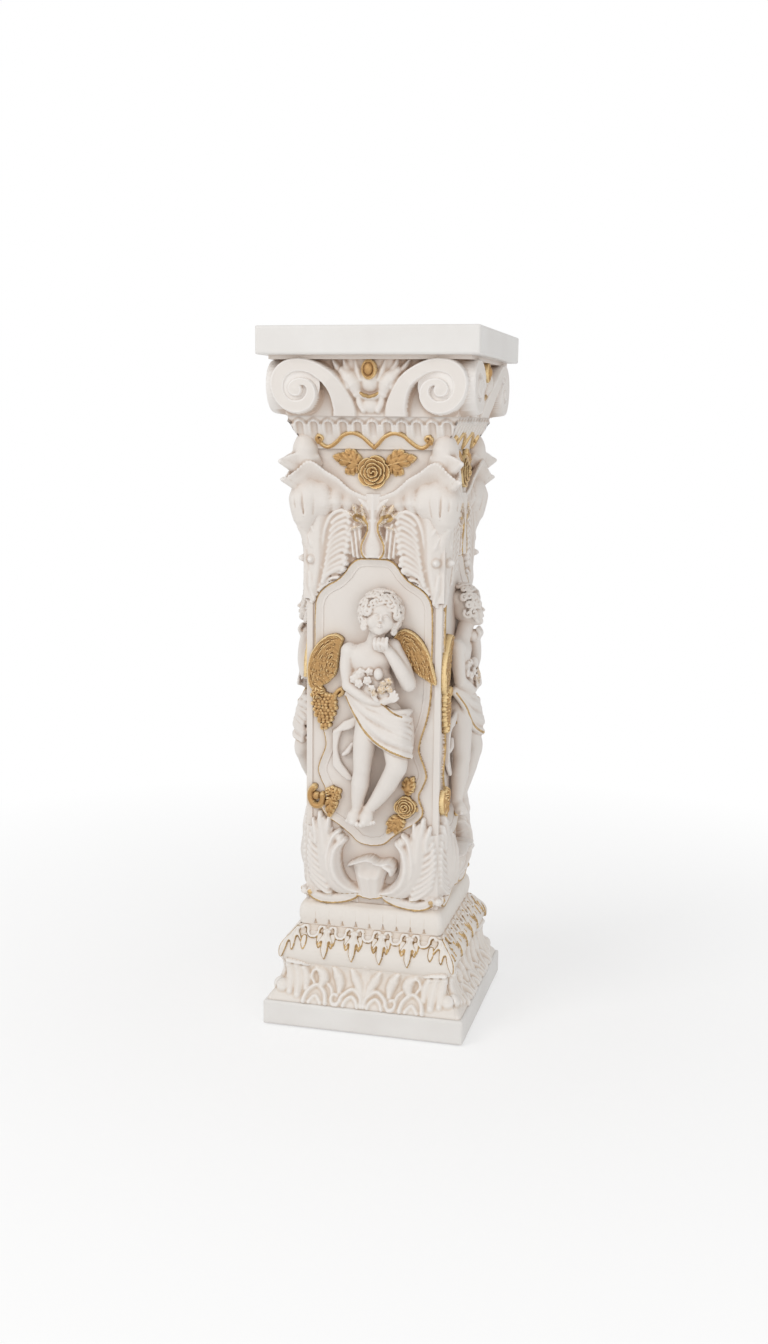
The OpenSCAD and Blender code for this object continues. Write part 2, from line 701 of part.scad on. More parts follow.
module fluted_band() {
    hood = capital_z - 3 - flute_w / 2;
    color(white) union() {
        difference() {
            round_square() flute_half();
            rod_bore(flute_z - 1, flute_h + 2);
            all_faces(flute_floor) for (k = [0:flutes - 1])
                translate([(k - (flutes - 1) / 2) * flute_pitch, 0, 0]) linear_extrude(reach / 2 - flute_floor) {
                    translate([0, hood]) circle(flute_w / 2);
                    translate([-flute_w / 2, flute_z + 4]) square([flute_w, hood - flute_z - 4]);
                }
        }
        all_faces(neck_face) linear_extrude(rail_face - neck_face - 1.5) both() lunette();
    }
}
module swag_rails() {
    color(gold) difference() {
        all_faces(rail_face - 1.5) linear_extrude(lip + 1.5) both() strip(rail_path, 3.6, 3);
        round_square() flute_half();
    }
}

// Thin plate under the slab, which the volutes end against
plate_t = 4.5;
plate_w = volute_w - 12;
module plate() translate([-plate_w / 2, -plate_w / 2, slab_z - plate_t]) cube([plate_w, plate_w, plate_t]);
module capital_core() {
    color(white) difference() {
        union() {
            translate([-core_face, -core_face, capital_z]) cube([core_w, core_w, capital_h]);
            plate();
        }
        rod_bore(capital_z - 1, capital_h + 2);
        translate([0, 0, slab_z - nut_seat - 2]) cylinder(nut_seat + 3, d = washer_d + 1);
        dowel_places() translate([0, 0, -dowel_l / 2 - 0.5]) cylinder(dowel_l, d = dowel_d + 0.3);
    }
}
module dowel_places() {
    for (x = [-dowel_at, dowel_at]) for (y = [-dowel_at, dowel_at]) translate([x, y, slab_z]) children();
}

// Volutes: a raised spiral fillet on a disc, with the band that sweeps to the middle
eye_z = slab_z - plate_t - volute_r;
turns = 1.75;
fillet_w = 11;
function spiral_r(t) = mix(volute_r, 6, pow(t, 0.85));
function spiral(o) = [
    for (i = [0:34]) let (t = i / 34, a = 60 + 360 * turns * t)
        [-eye_x, eye_z] + (spiral_r(t) - o * (1 - 0.45 * t)) * [cos(a), sin(a)]
];
sweep_out = [[-eye_x + 12, eye_z + volute_r - 2], [-50, eye_z + 22], [-36, eye_z + 10], [-25, eye_z - 5],
    [-17, eye_z - 20], [-13, capital_z]];
sweep_in = [[-eye_x + 9, eye_z + 16], [-60, eye_z + 9], [-50, eye_z - 1], [-44, eye_z - 14], [-40, capital_z]];
module sweep_band() polygon(concat(curve(sweep_out, 4), [for (i = [4:-1:0]) sweep_in[i]]));
module spiral_band() {
    a = spiral(0);
    b = spiral(fillet_w);
    polygon(concat(a, [for (i = [len(b) - 1:-1:0]) b[i]]));
}
module volute_side() {
    d = volute_face - core_face;
    linear_extrude(d - 4.5) {
        translate([-eye_x, eye_z]) circle(volute_r);
        sweep_band();
        translate([-eye_x + 8, eye_z]) square([eye_x - 8, slab_z - plate_t - eye_z]);
    }
    linear_extrude(d) spiral_band();
    linear_extrude(d) sweep_band();
    linear_extrude(d - 1) translate([-eye_x, eye_z]) circle(7);
}
module centre_leaf() {
    linear_extrude(volute_face - core_face - 3) both() {
        translate([0, gem_z]) circle(d = gem_w * 0.8);
        translate([11, eye_z + 6]) circle(11);
        translate([0, eye_z - 12]) circle(9.5);
        strip(curve([[10, slab_z - 22], [20, slab_z - 14], [26, slab_z - 3]], 4), 7, 2);
        strip(curve([[22, slab_z - 24], [34, slab_z - 16], [40, slab_z - 4]], 4), 7, 2);
        polygon([[0, capital_z], [14, capital_z], [18, eye_z], [0, eye_z + 10]]);
    }
}
module volutes(i) {
    color(white) rotate([0, 0, 90 * i]) intersection() {
        on_face(0, core_face) {
            both() volute_side();
            centre_leaf();
        }
        front_quarter();
        linear_extrude(slab_z - plate_t) square(reach, center = true);
    }
}

gem_z = slab_z - 3 - gem_h / 2;
gem_seat = volute_face - 3;
module gems() {
    color(gold) all_faces(gem_seat) translate([0, gem_z, 0]) {
        linear_extrude(2.5) polygon([for (a = [0:20:340]) [gem_w / 2 * cos(a), gem_h / 2 * sin(a)]]);
        for (k = [0:2]) linear_extrude(4 + k) polygon([for (a = [0:20:340])
            (0.76 - 0.2 * k) * [gem_w / 2 * cos(a), gem_h / 2 * sin(a)]]);
    }
}

module top_slab() {
    color(slab_white) difference() {
        translate([0, 0, slab_z]) soft_slab(slab_w, slab_t, edge_r);
        dowel_places() translate([0, 0, -1]) cylinder(dowel_l / 2 + 1.5, d = dowel_d + 0.3);
    }
}
module slab_dowels() {
    color("burlywood") dowel_places() translate([0, 0, -dowel_l / 2]) cylinder(dowel_l, d = dowel_d);
}

// Rod with a nut and a washer in a pocket at each end
pocket_foot = plinth_z + nut_seat + 3;
pocket_top = slab_z - nut_seat - 2;
module tie_rod() color("silver") translate([0, 0, rod_foot]) cylinder(rod_top - rod_foot, d = rod_d);
module tie_washers() {
    color("silver") for (z = [pocket_foot - washer_t, pocket_top]) translate([0, 0, z]) difference() {
        cylinder(washer_t, d = washer_d);
        translate([0, 0, -1]) cylinder(washer_t + 2, d = rod_d + 0.4);
    }
}
module tie_nuts() {
    color("silver") for (z = [pocket_foot - washer_t - nut_t, pocket_top + washer_t])
        translate([0, 0, z]) difference() {
            cylinder(nut_t, d = nut_w / cos(30), $fn = 6);
            translate([0, 0, -1]) cylinder(nut_t + 2, d = rod_d);
        }
}

felt_pads();
plinth_slab();
base_casting();
base_lobes();
leaf_drops();
gadroon_torus();
shaft_panel(0);  // shaft_panel_front
shaft_panel(1);  // shaft_panel_right
shaft_panel(2);  // shaft_panel_back
shaft_panel(3);  // shaft_panel_left
frame(0);  // frame_front
frame(1);  // frame_right
frame(2);  // frame_back
frame(3);  // frame_left
foot_leaves(0);  // foot_leaves_front
foot_leaves(1);  // foot_leaves_right
foot_leaves(2);  // foot_leaves_back
foot_leaves(3);  // foot_leaves_left
cherub(0);  // cherub_front
cherub(1);  // cherub_right
cherub(2);  // cherub_back
cherub(3);  // cherub_left
wings(0);  // wings_front
wings(1);  // wings_right
wings(2);  // wings_back
wings(3);  // wings_left
gilt_fruit(0);  // gilt_fruit_front
gilt_fruit(1);  // gilt_fruit_right
gilt_fruit(2);  // gilt_fruit_back
gilt_fruit(3);  // gilt_fruit_left
crest(0);  // crest_front
crest(1);  // crest_right
crest(2);  // crest_back
crest(3);  // crest_left
neck_bell();
corner_leaves(0);  // corner_leaves_a
corner_leaves(1);  // corner_leaves_b
corner_leaves(2);  // corner_leaves_c
corner_leaves(3);  // corner_leaves_d
rose_spray(0);  // rose_spray_front
rose_spray(1);  // rose_spray_right
rose_spray(2);  // rose_spray_back
rose_spray(3);  // rose_spray_left
fluted_band();
swag_rails();
capital_core();
volutes(0);  // volutes_front
volutes(1);  // volutes_right
volutes(2);  // volutes_back
volutes(3);  // volutes_left
gems();
top_slab();
slab_dowels();
tie_rod();
tie_nuts();
tie_washers();
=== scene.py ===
import math

import bpy
import bmesh
import numpy as np
from mathutils import Euler, Matrix, Vector

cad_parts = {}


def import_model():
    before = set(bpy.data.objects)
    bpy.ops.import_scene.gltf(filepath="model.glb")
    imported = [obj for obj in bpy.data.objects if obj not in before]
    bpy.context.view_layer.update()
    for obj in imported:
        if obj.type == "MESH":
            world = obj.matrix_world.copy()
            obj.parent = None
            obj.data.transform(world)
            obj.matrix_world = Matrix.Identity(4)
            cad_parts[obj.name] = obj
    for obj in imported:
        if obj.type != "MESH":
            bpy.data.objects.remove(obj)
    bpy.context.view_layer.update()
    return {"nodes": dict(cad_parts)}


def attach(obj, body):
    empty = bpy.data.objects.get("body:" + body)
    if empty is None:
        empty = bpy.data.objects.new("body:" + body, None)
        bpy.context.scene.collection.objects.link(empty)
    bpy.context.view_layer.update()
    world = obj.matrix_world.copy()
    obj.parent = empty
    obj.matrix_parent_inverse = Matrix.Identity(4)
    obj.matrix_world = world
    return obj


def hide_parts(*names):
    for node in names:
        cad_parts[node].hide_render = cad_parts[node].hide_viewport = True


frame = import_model()

# Camera at the photograph's viewing angle
yaw, pitch, roll = 0.248283, 0.171416, 0.010751
standpoint = Vector((0.41003, -1.64591, 0.70253))
focal_length, sensor_width = 38.62, 36
ahead = Vector((-math.sin(yaw) * math.cos(pitch), math.cos(yaw) * math.cos(pitch),
                -math.sin(pitch)))
across = ahead.cross(Vector((0, 0, 1))).normalized()
above = across.cross(ahead)
right = across * math.cos(roll) + above * math.sin(roll)
up = above * math.cos(roll) - across * math.sin(roll)
turn = Matrix((right, up, -ahead)).transposed().to_4x4()
turn.translation = standpoint
lens = bpy.data.cameras.new("camera")
lens.lens = focal_length
lens.sensor_width = sensor_width
camera = bpy.data.objects.new("camera", lens)
camera.matrix_world = turn
bpy.context.scene.collection.objects.link(camera)
bpy.context.scene.camera = camera
bpy.context.scene.view_settings.view_transform = "Standard"


# Shader maths: a socket that takes part in Python expressions
class Val:
    def __init__(self, tree, socket):
        self.tree = tree
        self.socket = socket

    def math(self, operation, other=None, swap=False):
        node = self.tree.nodes.new("ShaderNodeMath")
        node.operation = operation
        pair = [self, other] if not swap else [other, self]
        for slot, item in enumerate(pair):
            if isinstance(item, Val):
                self.tree.links.new(item.socket, node.inputs[slot])
            elif item is not None:
                node.inputs[slot].default_value = item
        return Val(self.tree, node.outputs[0])

    def __add__(self, other):
        return self.math("ADD", other)

    __radd__ = __add__

    def __sub__(self, other):
        return self.math("SUBTRACT", other)

    def __rsub__(self, other):
        return self.math("SUBTRACT", other, True)

    def __mul__(self, other):
        return self.math("MULTIPLY", other)

    __rmul__ = __mul__

    def __truediv__(self, other):
        return self.math("DIVIDE", other)

    def __pow__(self, other):
        return self.math("POWER", other)

    def clip(self):
        return self.math("MINIMUM", 1.0).math("MAXIMUM", 0.0)

    def step(self, low, high):
        return ((self - low) / (high - low)).clip()


class Paint:
    """A procedural material and the few nodes that it is mixed from"""

    def __init__(self, name, rough=0.5, metal=0.0, **constants):
        self.material = bpy.data.materials.new(name)
        self.material.use_nodes = True
        self.tree = self.material.node_tree
        self.shader = self.tree.nodes["Principled BSDF"]
        self.set(**{"Roughness": rough, "Metallic": metal})
        for key, value in constants.items():
            self.shader.inputs[key.replace("_", " ")].default_value = value

    def set(self, **values):
        for key, value in values.items():
            socket = self.shader.inputs[key.replace("_", " ")]
            if isinstance(value, Val):
                self.tree.links.new(value.socket, socket)
            else:
                socket.default_value = value

    def node(self, kind, settings=None, output=0, **inputs):
        node = self.tree.nodes.new(kind)
        for key, value in (settings or {}).items():
            if key == "stops":
                ramp = node.color_ramp
                while len(ramp.elements) < len(value):
                    ramp.elements.new(0.5)
                for element, (place, colour) in zip(ramp.elements, value):
                    element.position = place
                    element.color = (*colour, 1)
            else:
                setattr(node, key, value)
        for key, value in inputs.items():
            name = key.replace("_", " ")
            socket = (node.inputs[int(name[1:])] if name[0] == "i" and name[1:].isdigit()
                      else node.inputs[name])
            if isinstance(value, Val):
                self.tree.links.new(value.socket, socket)
            else:
                socket.default_value = value
        return Val(self.tree, node.outputs[output])

    def place(self):
        return self.node("ShaderNodeTexCoord", output=3)

    def noise(self, scale, detail=3.0, rough=0.55):
        return self.node("ShaderNodeTexNoise", Vector=self.place(), Scale=scale, Detail=detail,
                         Roughness=rough)

    def attribute(self, name):
        return self.node("ShaderNodeAttribute", {"attribute_name": name}, output=2)

    def shade(self, reach):
        return self.node("ShaderNodeAmbientOcclusion", {"samples": 8}, output=1, Distance=reach)

    def mix(self, factor, first, second):
        return self.node("ShaderNodeMix", {"data_type": "RGBA"}, output=2, i0=factor, i6=first,
                         i7=second)

    def bump(self, height, strength, distance):
        return self.node("ShaderNodeBump", Height=height, Strength=strength, Distance=distance)


def rgb(red, green, blue):
    """A colour as seen, from 0 to 255, made linear"""
    def linear(value):
        value /= 255
        return value / 12.92 if value <= 0.04045 else ((value + 0.055) / 1.055) ** 2.4
    return (linear(red), linear(green), linear(blue), 1)


def antique(name, light, warm, deep):
    """Cast resin: darker in its recesses from a brown wash and from painted shade, lighter on its
    ridges from painted highlight and rubbed wash, with gold paint where gilt says
    """
    p = Paint(name)
    # Ambient occlusion, far and close: painted shade in the recesses
    recess = 1 - p.shade(0.026)
    close = 1 - p.shade(0.004)
    wash = p.attribute("wash")
    cloud = p.noise(22, 4)
    fine = p.noise(420, 3)
    # Broad painted shade from the far occlusion, with cloudy tone that varies at random, turns the
    # light tone warm
    shade_and_tone = (recess * 1.15 + (cloud - 0.5) * 0.55).step(0.08, 0.85)
    # Brown wash together with painted shade from the close occlusion turns it deep
    stain_and_shade = (wash * 0.7 + close * 0.3 + (fine - 0.5) * 0.2).step(0.12, 1.15)
    colour = p.mix(shade_and_tone, light, warm)
    colour = p.mix(stain_and_shade, colour, deep)
    # Painted highlight on the ridges, where the wash is also rubbed off
    colour = p.mix((p.attribute("edge") * 0.8 + (fine - 0.5) * 0.3).step(0.15, 1.2), colour,
                   rgb(240, 237, 234))
    gilt = (p.attribute("gilt") * 1.25 + (p.noise(700, 2) - 0.5) * 0.5).step(0.42, 0.62)
    # Gold is darker at random, and where the wash and painted shade lie
    gold = p.mix((p.noise(160, 4) + wash * 0.5).step(0.35, 0.8), rgb(206, 174, 122),
                 rgb(134, 104, 66))
    p.set(Base_Color=p.mix(gilt, colour, gold))
    p.set(Metallic=gilt * 0.6, Roughness=0.58 + (fine - 0.5) * 0.2 - gilt * 0.18)
    p.set(Normal=p.bump(p.noise(900, 3) + p.noise(60, 2) * 1.5, 0.12, 0.0006))
    return p.material


def gold_leaf(name):
    """Metallic gold paint over carving: dark in the grooves from wash and painted shade, lighter on
    the ridges from painted highlight and rubbing
    """
    p = Paint(name)
    recess = 1 - p.shade(0.006)
    wash = p.attribute("wash")
    speck = p.noise(520, 4, 0.65)
    # Painted shade: dark gold in the grooves from occlusion and the recess mark, broken up by
    # specks
    depth = (recess * 0.9 + wash * 0.9 + (speck - 0.5) * 1.5).step(0.05, 0.95)
    # Painted highlight: light gold on the ridges, partly rubbed gold
    highlight_and_wear = (p.attribute("edge") * 1.2 + (speck - 0.5) * 1.7).step(0.4, 1.05)
    colour = p.mix(depth, rgb(187, 147, 95), rgb(112, 78, 42))
    colour = p.mix(highlight_and_wear, colour, rgb(230, 203, 152))
    p.set(Base_Color=colour, Metallic=0.52, Roughness=(0.4 + (speck - 0.5) * 0.3))
    p.set(Normal=p.bump(speck + p.noise(1400, 2) * 0.5, 0.5, 0.0009))
    return p.material


def plain_resin(name):
    """Smooth painted slab with the faint marks of the mould, and painted shade towards its corners
    """
    p = Paint(name)
    cloud = p.noise(14, 3)
    fine = p.noise(600, 3)
    # Painted shade: darker towards the slab's corners from ambient occlusion, mixed with the
    # mould's cloudy marks
    corner = 1 - p.shade(0.01)
    colour = p.mix((cloud + corner * 0.6).step(0.3, 0.95), rgb(229, 227, 224), rgb(219, 215, 211))
    p.set(Base_Color=colour, Roughness=0.5 + (fine - 0.5) * 0.25)
    p.set(Normal=p.bump(p.noise(250, 4), 0.06, 0.0005))
    return p.material


def brushed(name, colour, rough, metal, grain):
    p = Paint(name, metal=metal)
    streak = p.noise(grain, 4)
    dark = tuple(channel * 0.62 for channel in colour[:3]) + (1,)
    p.set(Base_Color=p.mix(streak.step(0.3, 0.75), colour, dark))
    p.set(Roughness=rough + (streak - 0.5) * 0.3, Normal=p.bump(streak, 0.3, 0.0004))
    return p.material


# Each resin has a light tone, a warm tone for its broad painted shade and random cloudiness, and a
# deep tone for its brown wash and painted shade in recesses
RESIN = antique("antique_shaded_resin", rgb(225, 219, 213), rgb(212, 197, 185), rgb(178, 150, 126))
BASE_RESIN = antique("antique_shaded_resin_foot", rgb(228, 222, 215), rgb(220, 207, 194),
                     rgb(194, 168, 140))
GOLD = gold_leaf("gold_paint")
SLAB = plain_resin("slab_resin")
STEEL = brushed("zinc_steel", rgb(176, 178, 180), 0.38, 1.0, 900)
BEECH = brushed("beech_dowel", rgb(206, 172, 130), 0.62, 0.0, 240)
FELT = brushed("grey_felt", rgb(92, 92, 94), 0.95, 0.0, 1500)

# Faces are counted from the front towards the right, as in the part's source
SIDES = ("front", "right", "back", "left")
CORNERS = ("a", "b", "c", "d")
MM = 0.001

# Foot of the gadrooned torus, and the faces that carry the reliefs, in millimetres
GADROON_Z = 116.08
PANEL, NECK, CORE = 77.5, 77, 98


def bend(points, steps=6):
    """A smooth line through points, in two or three dimensions"""
    p = np.asarray(points, float)
    out = []
    for i in range(len(p) - 1):
        a, b, c, d = p[max(i - 1, 0)], p[i], p[i + 1], p[min(i + 2, len(p) - 1)]
        for k in range(steps):
            t = k / steps
            out.append(0.5 * (2 * b + (c - a) * t + (2 * a - 5 * b + 4 * c - d) * t * t
                              + (3 * b - a - 3 * c + d) * t ** 3))
    out.append(p[-1])
    return np.array(out)


def blur(field, times):
    for _ in range(times):
        padded = np.pad(field, 1, mode="edge")
        rows = (padded[:-2] + 2 * padded[1:-1] + padded[2:]) / 4
        field = (rows[:, :-2] + 2 * rows[:, 1:-1] + rows[:, 2:]) / 4
    return field


def haze(field, reach):
    """A wide blur, for the broad hollows that take the wash and the painted shade"""
    for axis in (0, 1):
        for _ in range(2):
            padded = np.pad(field, [(reach + 1, reach) if n == axis else (0, 0) for n in (0, 1)],
                            mode="edge")
            run = np.cumsum(padded, axis)
            width = 2 * reach + 1
            first = tuple(slice(width, None) if n == axis else slice(None) for n in (0, 1))
            last = tuple(slice(None, -width) if n == axis else slice(None) for n in (0, 1))
            field = (run[first] - run[last]) / width
    return field


def hump(t, peak=0.4, start=0.0, end=0.0, power=1.0):
    """Rises from start to 1 at the peak and falls to end"""
    rise = start + (1 - start) * np.sin(np.clip(t / peak, 0, 1) * math.pi / 2) ** power
    fall = end + (1 - end) * np.cos(np.clip((t - peak) / (1 - peak), 0, 1) * math.pi / 2) ** power
    return np.where(t < peak, rise, fall)


SUNK = -1.6


class Relief:
    """Carving on one face: how far each place stands out, and where it is gilt"""

    def __init__(self, left, right, low, high, step=0.8):
        step *= 1.0
        columns = max(8, round((right - left) / step))
        rows = max(8, round((high - low) / step))
        self.u, self.w = np.meshgrid(np.linspace(left, right, columns + 1),
                                     np.linspace(low, high, rows + 1))
        self.h = np.full(self.u.shape, SUNK)
        self.gilt = np.zeros(self.u.shape)
        self.stain_and_shade = np.zeros(self.u.shape)

    def near(self, path, reach):
        """Part of the grid within reach of a line: distance, place along it, and side"""
        p = np.asarray(path, float)[:, :2]
        cols = np.where((self.u[0] > p[:, 0].min() - reach)
                        & (self.u[0] < p[:, 0].max() + reach))[0]
        rows = np.where((self.w[:, 0] > p[:, 1].min() - reach)
                        & (self.w[:, 0] < p[:, 1].max() + reach))[0]
        if not len(cols) or not len(rows):
            return None
        part = (slice(rows[0], rows[-1] + 1), slice(cols[0], cols[-1] + 1))
        u, w = self.u[part], self.w[part]
        best, along, side = np.full(u.shape, 1e9), np.zeros(u.shape), np.ones(u.shape)
        legs = np.diff(p, axis=0)
        lengths = np.hypot(legs[:, 0], legs[:, 1])
        run, total = 0.0, lengths.sum()
        for a, leg, length in zip(p[:-1], legs, lengths):
            if length < 1e-9:
                continue
            du, dw = u - a[0], w - a[1]
            s = np.clip((du * leg[0] + dw * leg[1]) / length ** 2, 0, 1)
            gap = np.hypot(du - s * leg[0], dw - s * leg[1])
            closer = gap < best
            best = np.where(closer, gap, best)
            along = np.where(closer, (run + s * length) / total, along)
            side = np.where(closer, np.sign(leg[0] * dw - leg[1] * du), side)
            run += length
        return part, best, along, side

    def add(self, part, height, gilt=0.0, over=False):
        here = self.h[part]
        wins = height > here
        if over:
            wins = height > SUNK + 0.2
        self.h[part] = np.where(wins, height, here)
        self.gilt[part] = np.where(wins, gilt, self.gilt[part])

    def roll(self, path, r0, r1, high0, high1=None, gilt=0.0, base=0.0, taper=False):
        """A rounded bead along a line"""
        found = self.near(path, max(r0, r1) + 1)
        if found is None:
            return
        part, gap, t, _ = found
        high1 = high0 if high1 is None else high1
        r = r0 + (r1 - r0) * t
        high = high0 + (high1 - high0) * t
        if taper:
            ends = np.clip(np.minimum(t, 1 - t) / 0.18, 0, 1) ** 0.6
            r = r * (0.25 + 0.75 * ends)
            high = high * (0.35 + 0.65 * ends)
        inside = gap < r
        height = np.where(inside, base + high * np.sqrt(np.clip(1 - (gap / r) ** 2, 0, 1)), SUNK)
        self.add(part, height, gilt)

    def groove(self, path, r, depth):
        found = self.near(path, r + 1)
        if found is None:
            return
        part, gap, t, _ = found
        ends = np.clip(np.minimum(t, 1 - t) / 0.15, 0, 1)
        cut = depth * np.clip(1 - (gap / r) ** 2, 0, 1) * ends
        here = self.h[part]
        self.h[part] = np.where(here > SUNK + 0.2, np.maximum(here - cut, -0.4), here)

    def gild(self, path, r, value=1.0):
        found = self.near(path, r + 1)
        if found is None:
            return
        part, gap, _, _ = found
        self.gilt[part] = np.maximum(self.gilt[part], value * np.clip((r - gap) / (0.35 * r), 0, 1))

    def dome(self, u, w, r, high, gilt=0.0, base=0.0, squash=1.0, angle=0.0):
        part, _, _, _ = self.near([(u - 1e-3, w), (u, w)], r * max(1, squash) + 1)
        du, dw = self.u[part] - u, self.w[part] - w
        ca, sa = math.cos(angle), math.sin(angle)
        gap = np.hypot((du * ca + dw * sa) / squash, -du * sa + dw * ca) / r
        self.add(part, np.where(gap < 1, base + high * np.sqrt(np.clip(1 - gap ** 2, 0, 1)), SUNK),
                 gilt)

    def leaf(self, path, width, high, lobes=5, slant=0.7, cut=0.3, rib=0.5, gilt=0.0, base=0.0,
             peak=0.42, start=0.35, end=0.0, one_side=0, edge=0.0, curl=0.0):
        """A carved leaf along its midrib, with rounded fingers that lean towards the tip"""
        found = self.near(path, width + 2)
        if found is None:
            return
        part, gap, t, side = found
        if one_side:
            gap = np.where(side == one_side, gap, gap * 3.2)
        shape = hump(t, peak, start, end, 0.8)
        reach = np.maximum(width * shape, 0.05)
        phase = lobes * t - slant * gap / width * lobes * 0.35
        finger = np.abs(np.sin(phase * math.pi))
        edge_at = reach * (1 - cut + cut * finger ** 0.7)
        v = gap / edge_at
        inside = v < 1
        body = np.sqrt(np.clip(1 - v ** 3, 0, 1))
        ridges = (1 - rib) + rib * finger ** 0.6
        middle = np.clip(gap / (0.16 * width), 0, 1)
        height = (base + high * hump(t, 0.35, 0.55, 0.4) * body
                  * (ridges * middle + (1 - middle) * 0.85))
        height = height + edge * high * np.clip((v - 0.55) / 0.45, 0, 1) * (v < 0.93)
        height = height + curl * np.clip((t - 0.75) / 0.25, 0, 1)
        self.add(part, np.where(inside, height, SUNK), gilt)
        if gilt == 0 and edge >= 0.2:
            self.gilt[part] = np.where(inside & (v > 0.8) & (height > self.h[part] - 1e-6), 0.9,
                                       self.gilt[part])

    def blade(self, path, widths, highs, ribs=3, depth=0.8, base=0.0, lobes=0, cut=0.0, gilt=0.0,
              power=2.2, lean=0.0):
        """A broad smooth leaf blade with soft ribs along it, and lobes at its edge"""
        found = self.near(path, max(widths) + 2)
        if found is None:
            return
        part, gap, t, side = found
        places = np.linspace(0, 1, len(widths))
        wide = np.interp(t, places, widths)
        if lobes:
            wide = wide * (1 - cut * (
                1 - np.abs(np.sin((lobes * t - 0.25 * gap / wide) * math.pi)) ** 0.7))
        high = np.interp(t, np.linspace(0, 1, len(highs)), highs)
        v = gap / np.maximum(wide, 0.05)
        body = np.clip(1 - v ** power, 0, 1) ** 0.5
        waves = depth * (np.cos(v * side * ribs * math.pi) - 1) * 0.5 * np.clip((1 - v) * 3, 0, 1)
        top = base + high * body + waves + lean * side * v * high
        self.add(part, np.where(v < 1, top, SUNK), gilt)

    def rose(self, u, w, r, high, gilt=1.0, petals=5, twist=0.4, base=0.0):
        """A full blown rose: rings of cupped petals round a tight bud"""
        part, _, _, _ = self.near([(u - 1e-3, w), (u, w)], r + 1)
        du, dw = self.u[part] - u, self.w[part] - w
        gap, angle = np.hypot(du, dw), np.arctan2(dw, du)
        height = np.full(gap.shape, SUNK)
        rings = 4
        for k in range(rings):
            size = r * (1 - 0.22 * k)
            count = petals - (k > 1)
            wave = np.abs(np.cos(count / 2 * (angle + twist * k * 1.7)))
            rim = size * (0.84 + 0.16 * wave ** 0.6)
            cup = (base + high * (0.42 + 0.17 * k) + high * 0.22 * (gap / rim) ** 3
                   - high * 0.1 * (1 - wave) ** 2)
            height = np.where(gap < rim, cup, height)
        bud = np.clip(1 - gap / (r * 0.2), 0, 1)
        height = np.where(gap < r * 0.2, base + high * (0.9 + 0.1 * bud)
                          - high * 0.12 * np.cos(angle * 2 + gap), height)
        self.add(part, height, gilt)

    def piece(self, name, surface, soften=1, wash=1.0):
        """The finished carving as a mesh on a surface that maps across, up and out to a place"""
        h = self.h
        for _ in range(soften):
            h = np.where(h > SUNK + 0.2, np.maximum(blur(h, 1), h * 0.6 + blur(h, 1) * 0.4), h)
        seen = np.maximum(h, 0)
        # Recess mark for the brown wash and painted shade in hollows, ridge mark for painted
        # highlight on ridges
        recess = ((blur(seen, 2) - seen) * 1.2 + (blur(seen, 9) - seen) * 0.4
                  + (haze(seen, 9) - seen) * 0.075)
        ridge = np.clip((seen - blur(seen, 3)) * 1.8, 0, 1)
        rows, columns = h.shape
        bpy.ops.object.select_all(action="DESELECT")
        bpy.ops.mesh.primitive_grid_add(x_subdivisions=columns - 1, y_subdivisions=rows - 1, size=1)
        obj = bpy.context.object
        obj.name = name
        mesh = obj.data
        if len(mesh.vertices) != rows * columns:
            raise ValueError("grid of another size than asked for")
        spots = surface(self.u.ravel(), self.w.ravel(), h.ravel())
        mesh.vertices.foreach_set("co", (spots * MM).astype(np.float32).ravel())
        store(mesh, "wash", np.clip(recess * wash + self.stain_and_shade, 0, 1).ravel())
        store(mesh, "edge", ridge.ravel())
        store(mesh, "gilt", np.clip(blur(self.gilt, 1), 0, 1).ravel())
        shown = h.ravel() > SUNK + 0.2
        bm = bmesh.new()
        bm.from_mesh(mesh)
        bm.verts.ensure_lookup_table()
        gone = [f for f in bm.faces if not any(shown[v.index] for v in f.verts)
                or f.calc_area() < 1e-10]
        bmesh.ops.delete(bm, geom=gone, context="FACES")
        bmesh.ops.recalc_face_normals(bm, faces=bm.faces)
        bm.normal_update()
        out = sum((f.normal.y * f.calc_area() for f in bm.faces), 0.0)
        if out > 0:
            bmesh.ops.reverse_faces(bm, faces=bm.faces)
        bm.to_mesh(mesh)
        bm.free()
        bpy.ops.object.shade_smooth()
        return obj


def store(mesh, name, values):
    attribute = mesh.attributes.get(name) or mesh.attributes.new(name, "FLOAT", "POINT")
    attribute.data.foreach_set("value", np.asarray(values, np.float32))


def flat_face(distance):
    """The plane of a face at a distance from the axis, seen from the front"""
    def spot(u, w, h):
        return np.stack([u, -(distance + h), w], 1)
    return spot


def moulded_face(profile):
    """A moulding that runs round the square and is mitred at its corners"""
    line = bend(profile, 8)
    rises = np.gradient(line, axis=0)
    rises /= np.hypot(rises[:, 0], rises[:, 1])[:, None]
    length = np.concatenate([[0], np.cumsum(np.hypot(*np.diff(line, axis=0).T))])

    def spot(u, v, h):
        d = np.interp(v, length, line[:, 0])
        z = np.interp(v, length, line[:, 1])
        nd = np.interp(v, length, rises[:, 1])
        nz = -np.interp(v, length, rises[:, 0])
        reach = d + nd * h
        return np.stack([np.clip(u, -reach, reach), -reach, z + nz * h], 1)
    spot.length = length[-1]
    spot.at_level = lambda level: float(np.interp(level, line[:, 1], length))
    return spot


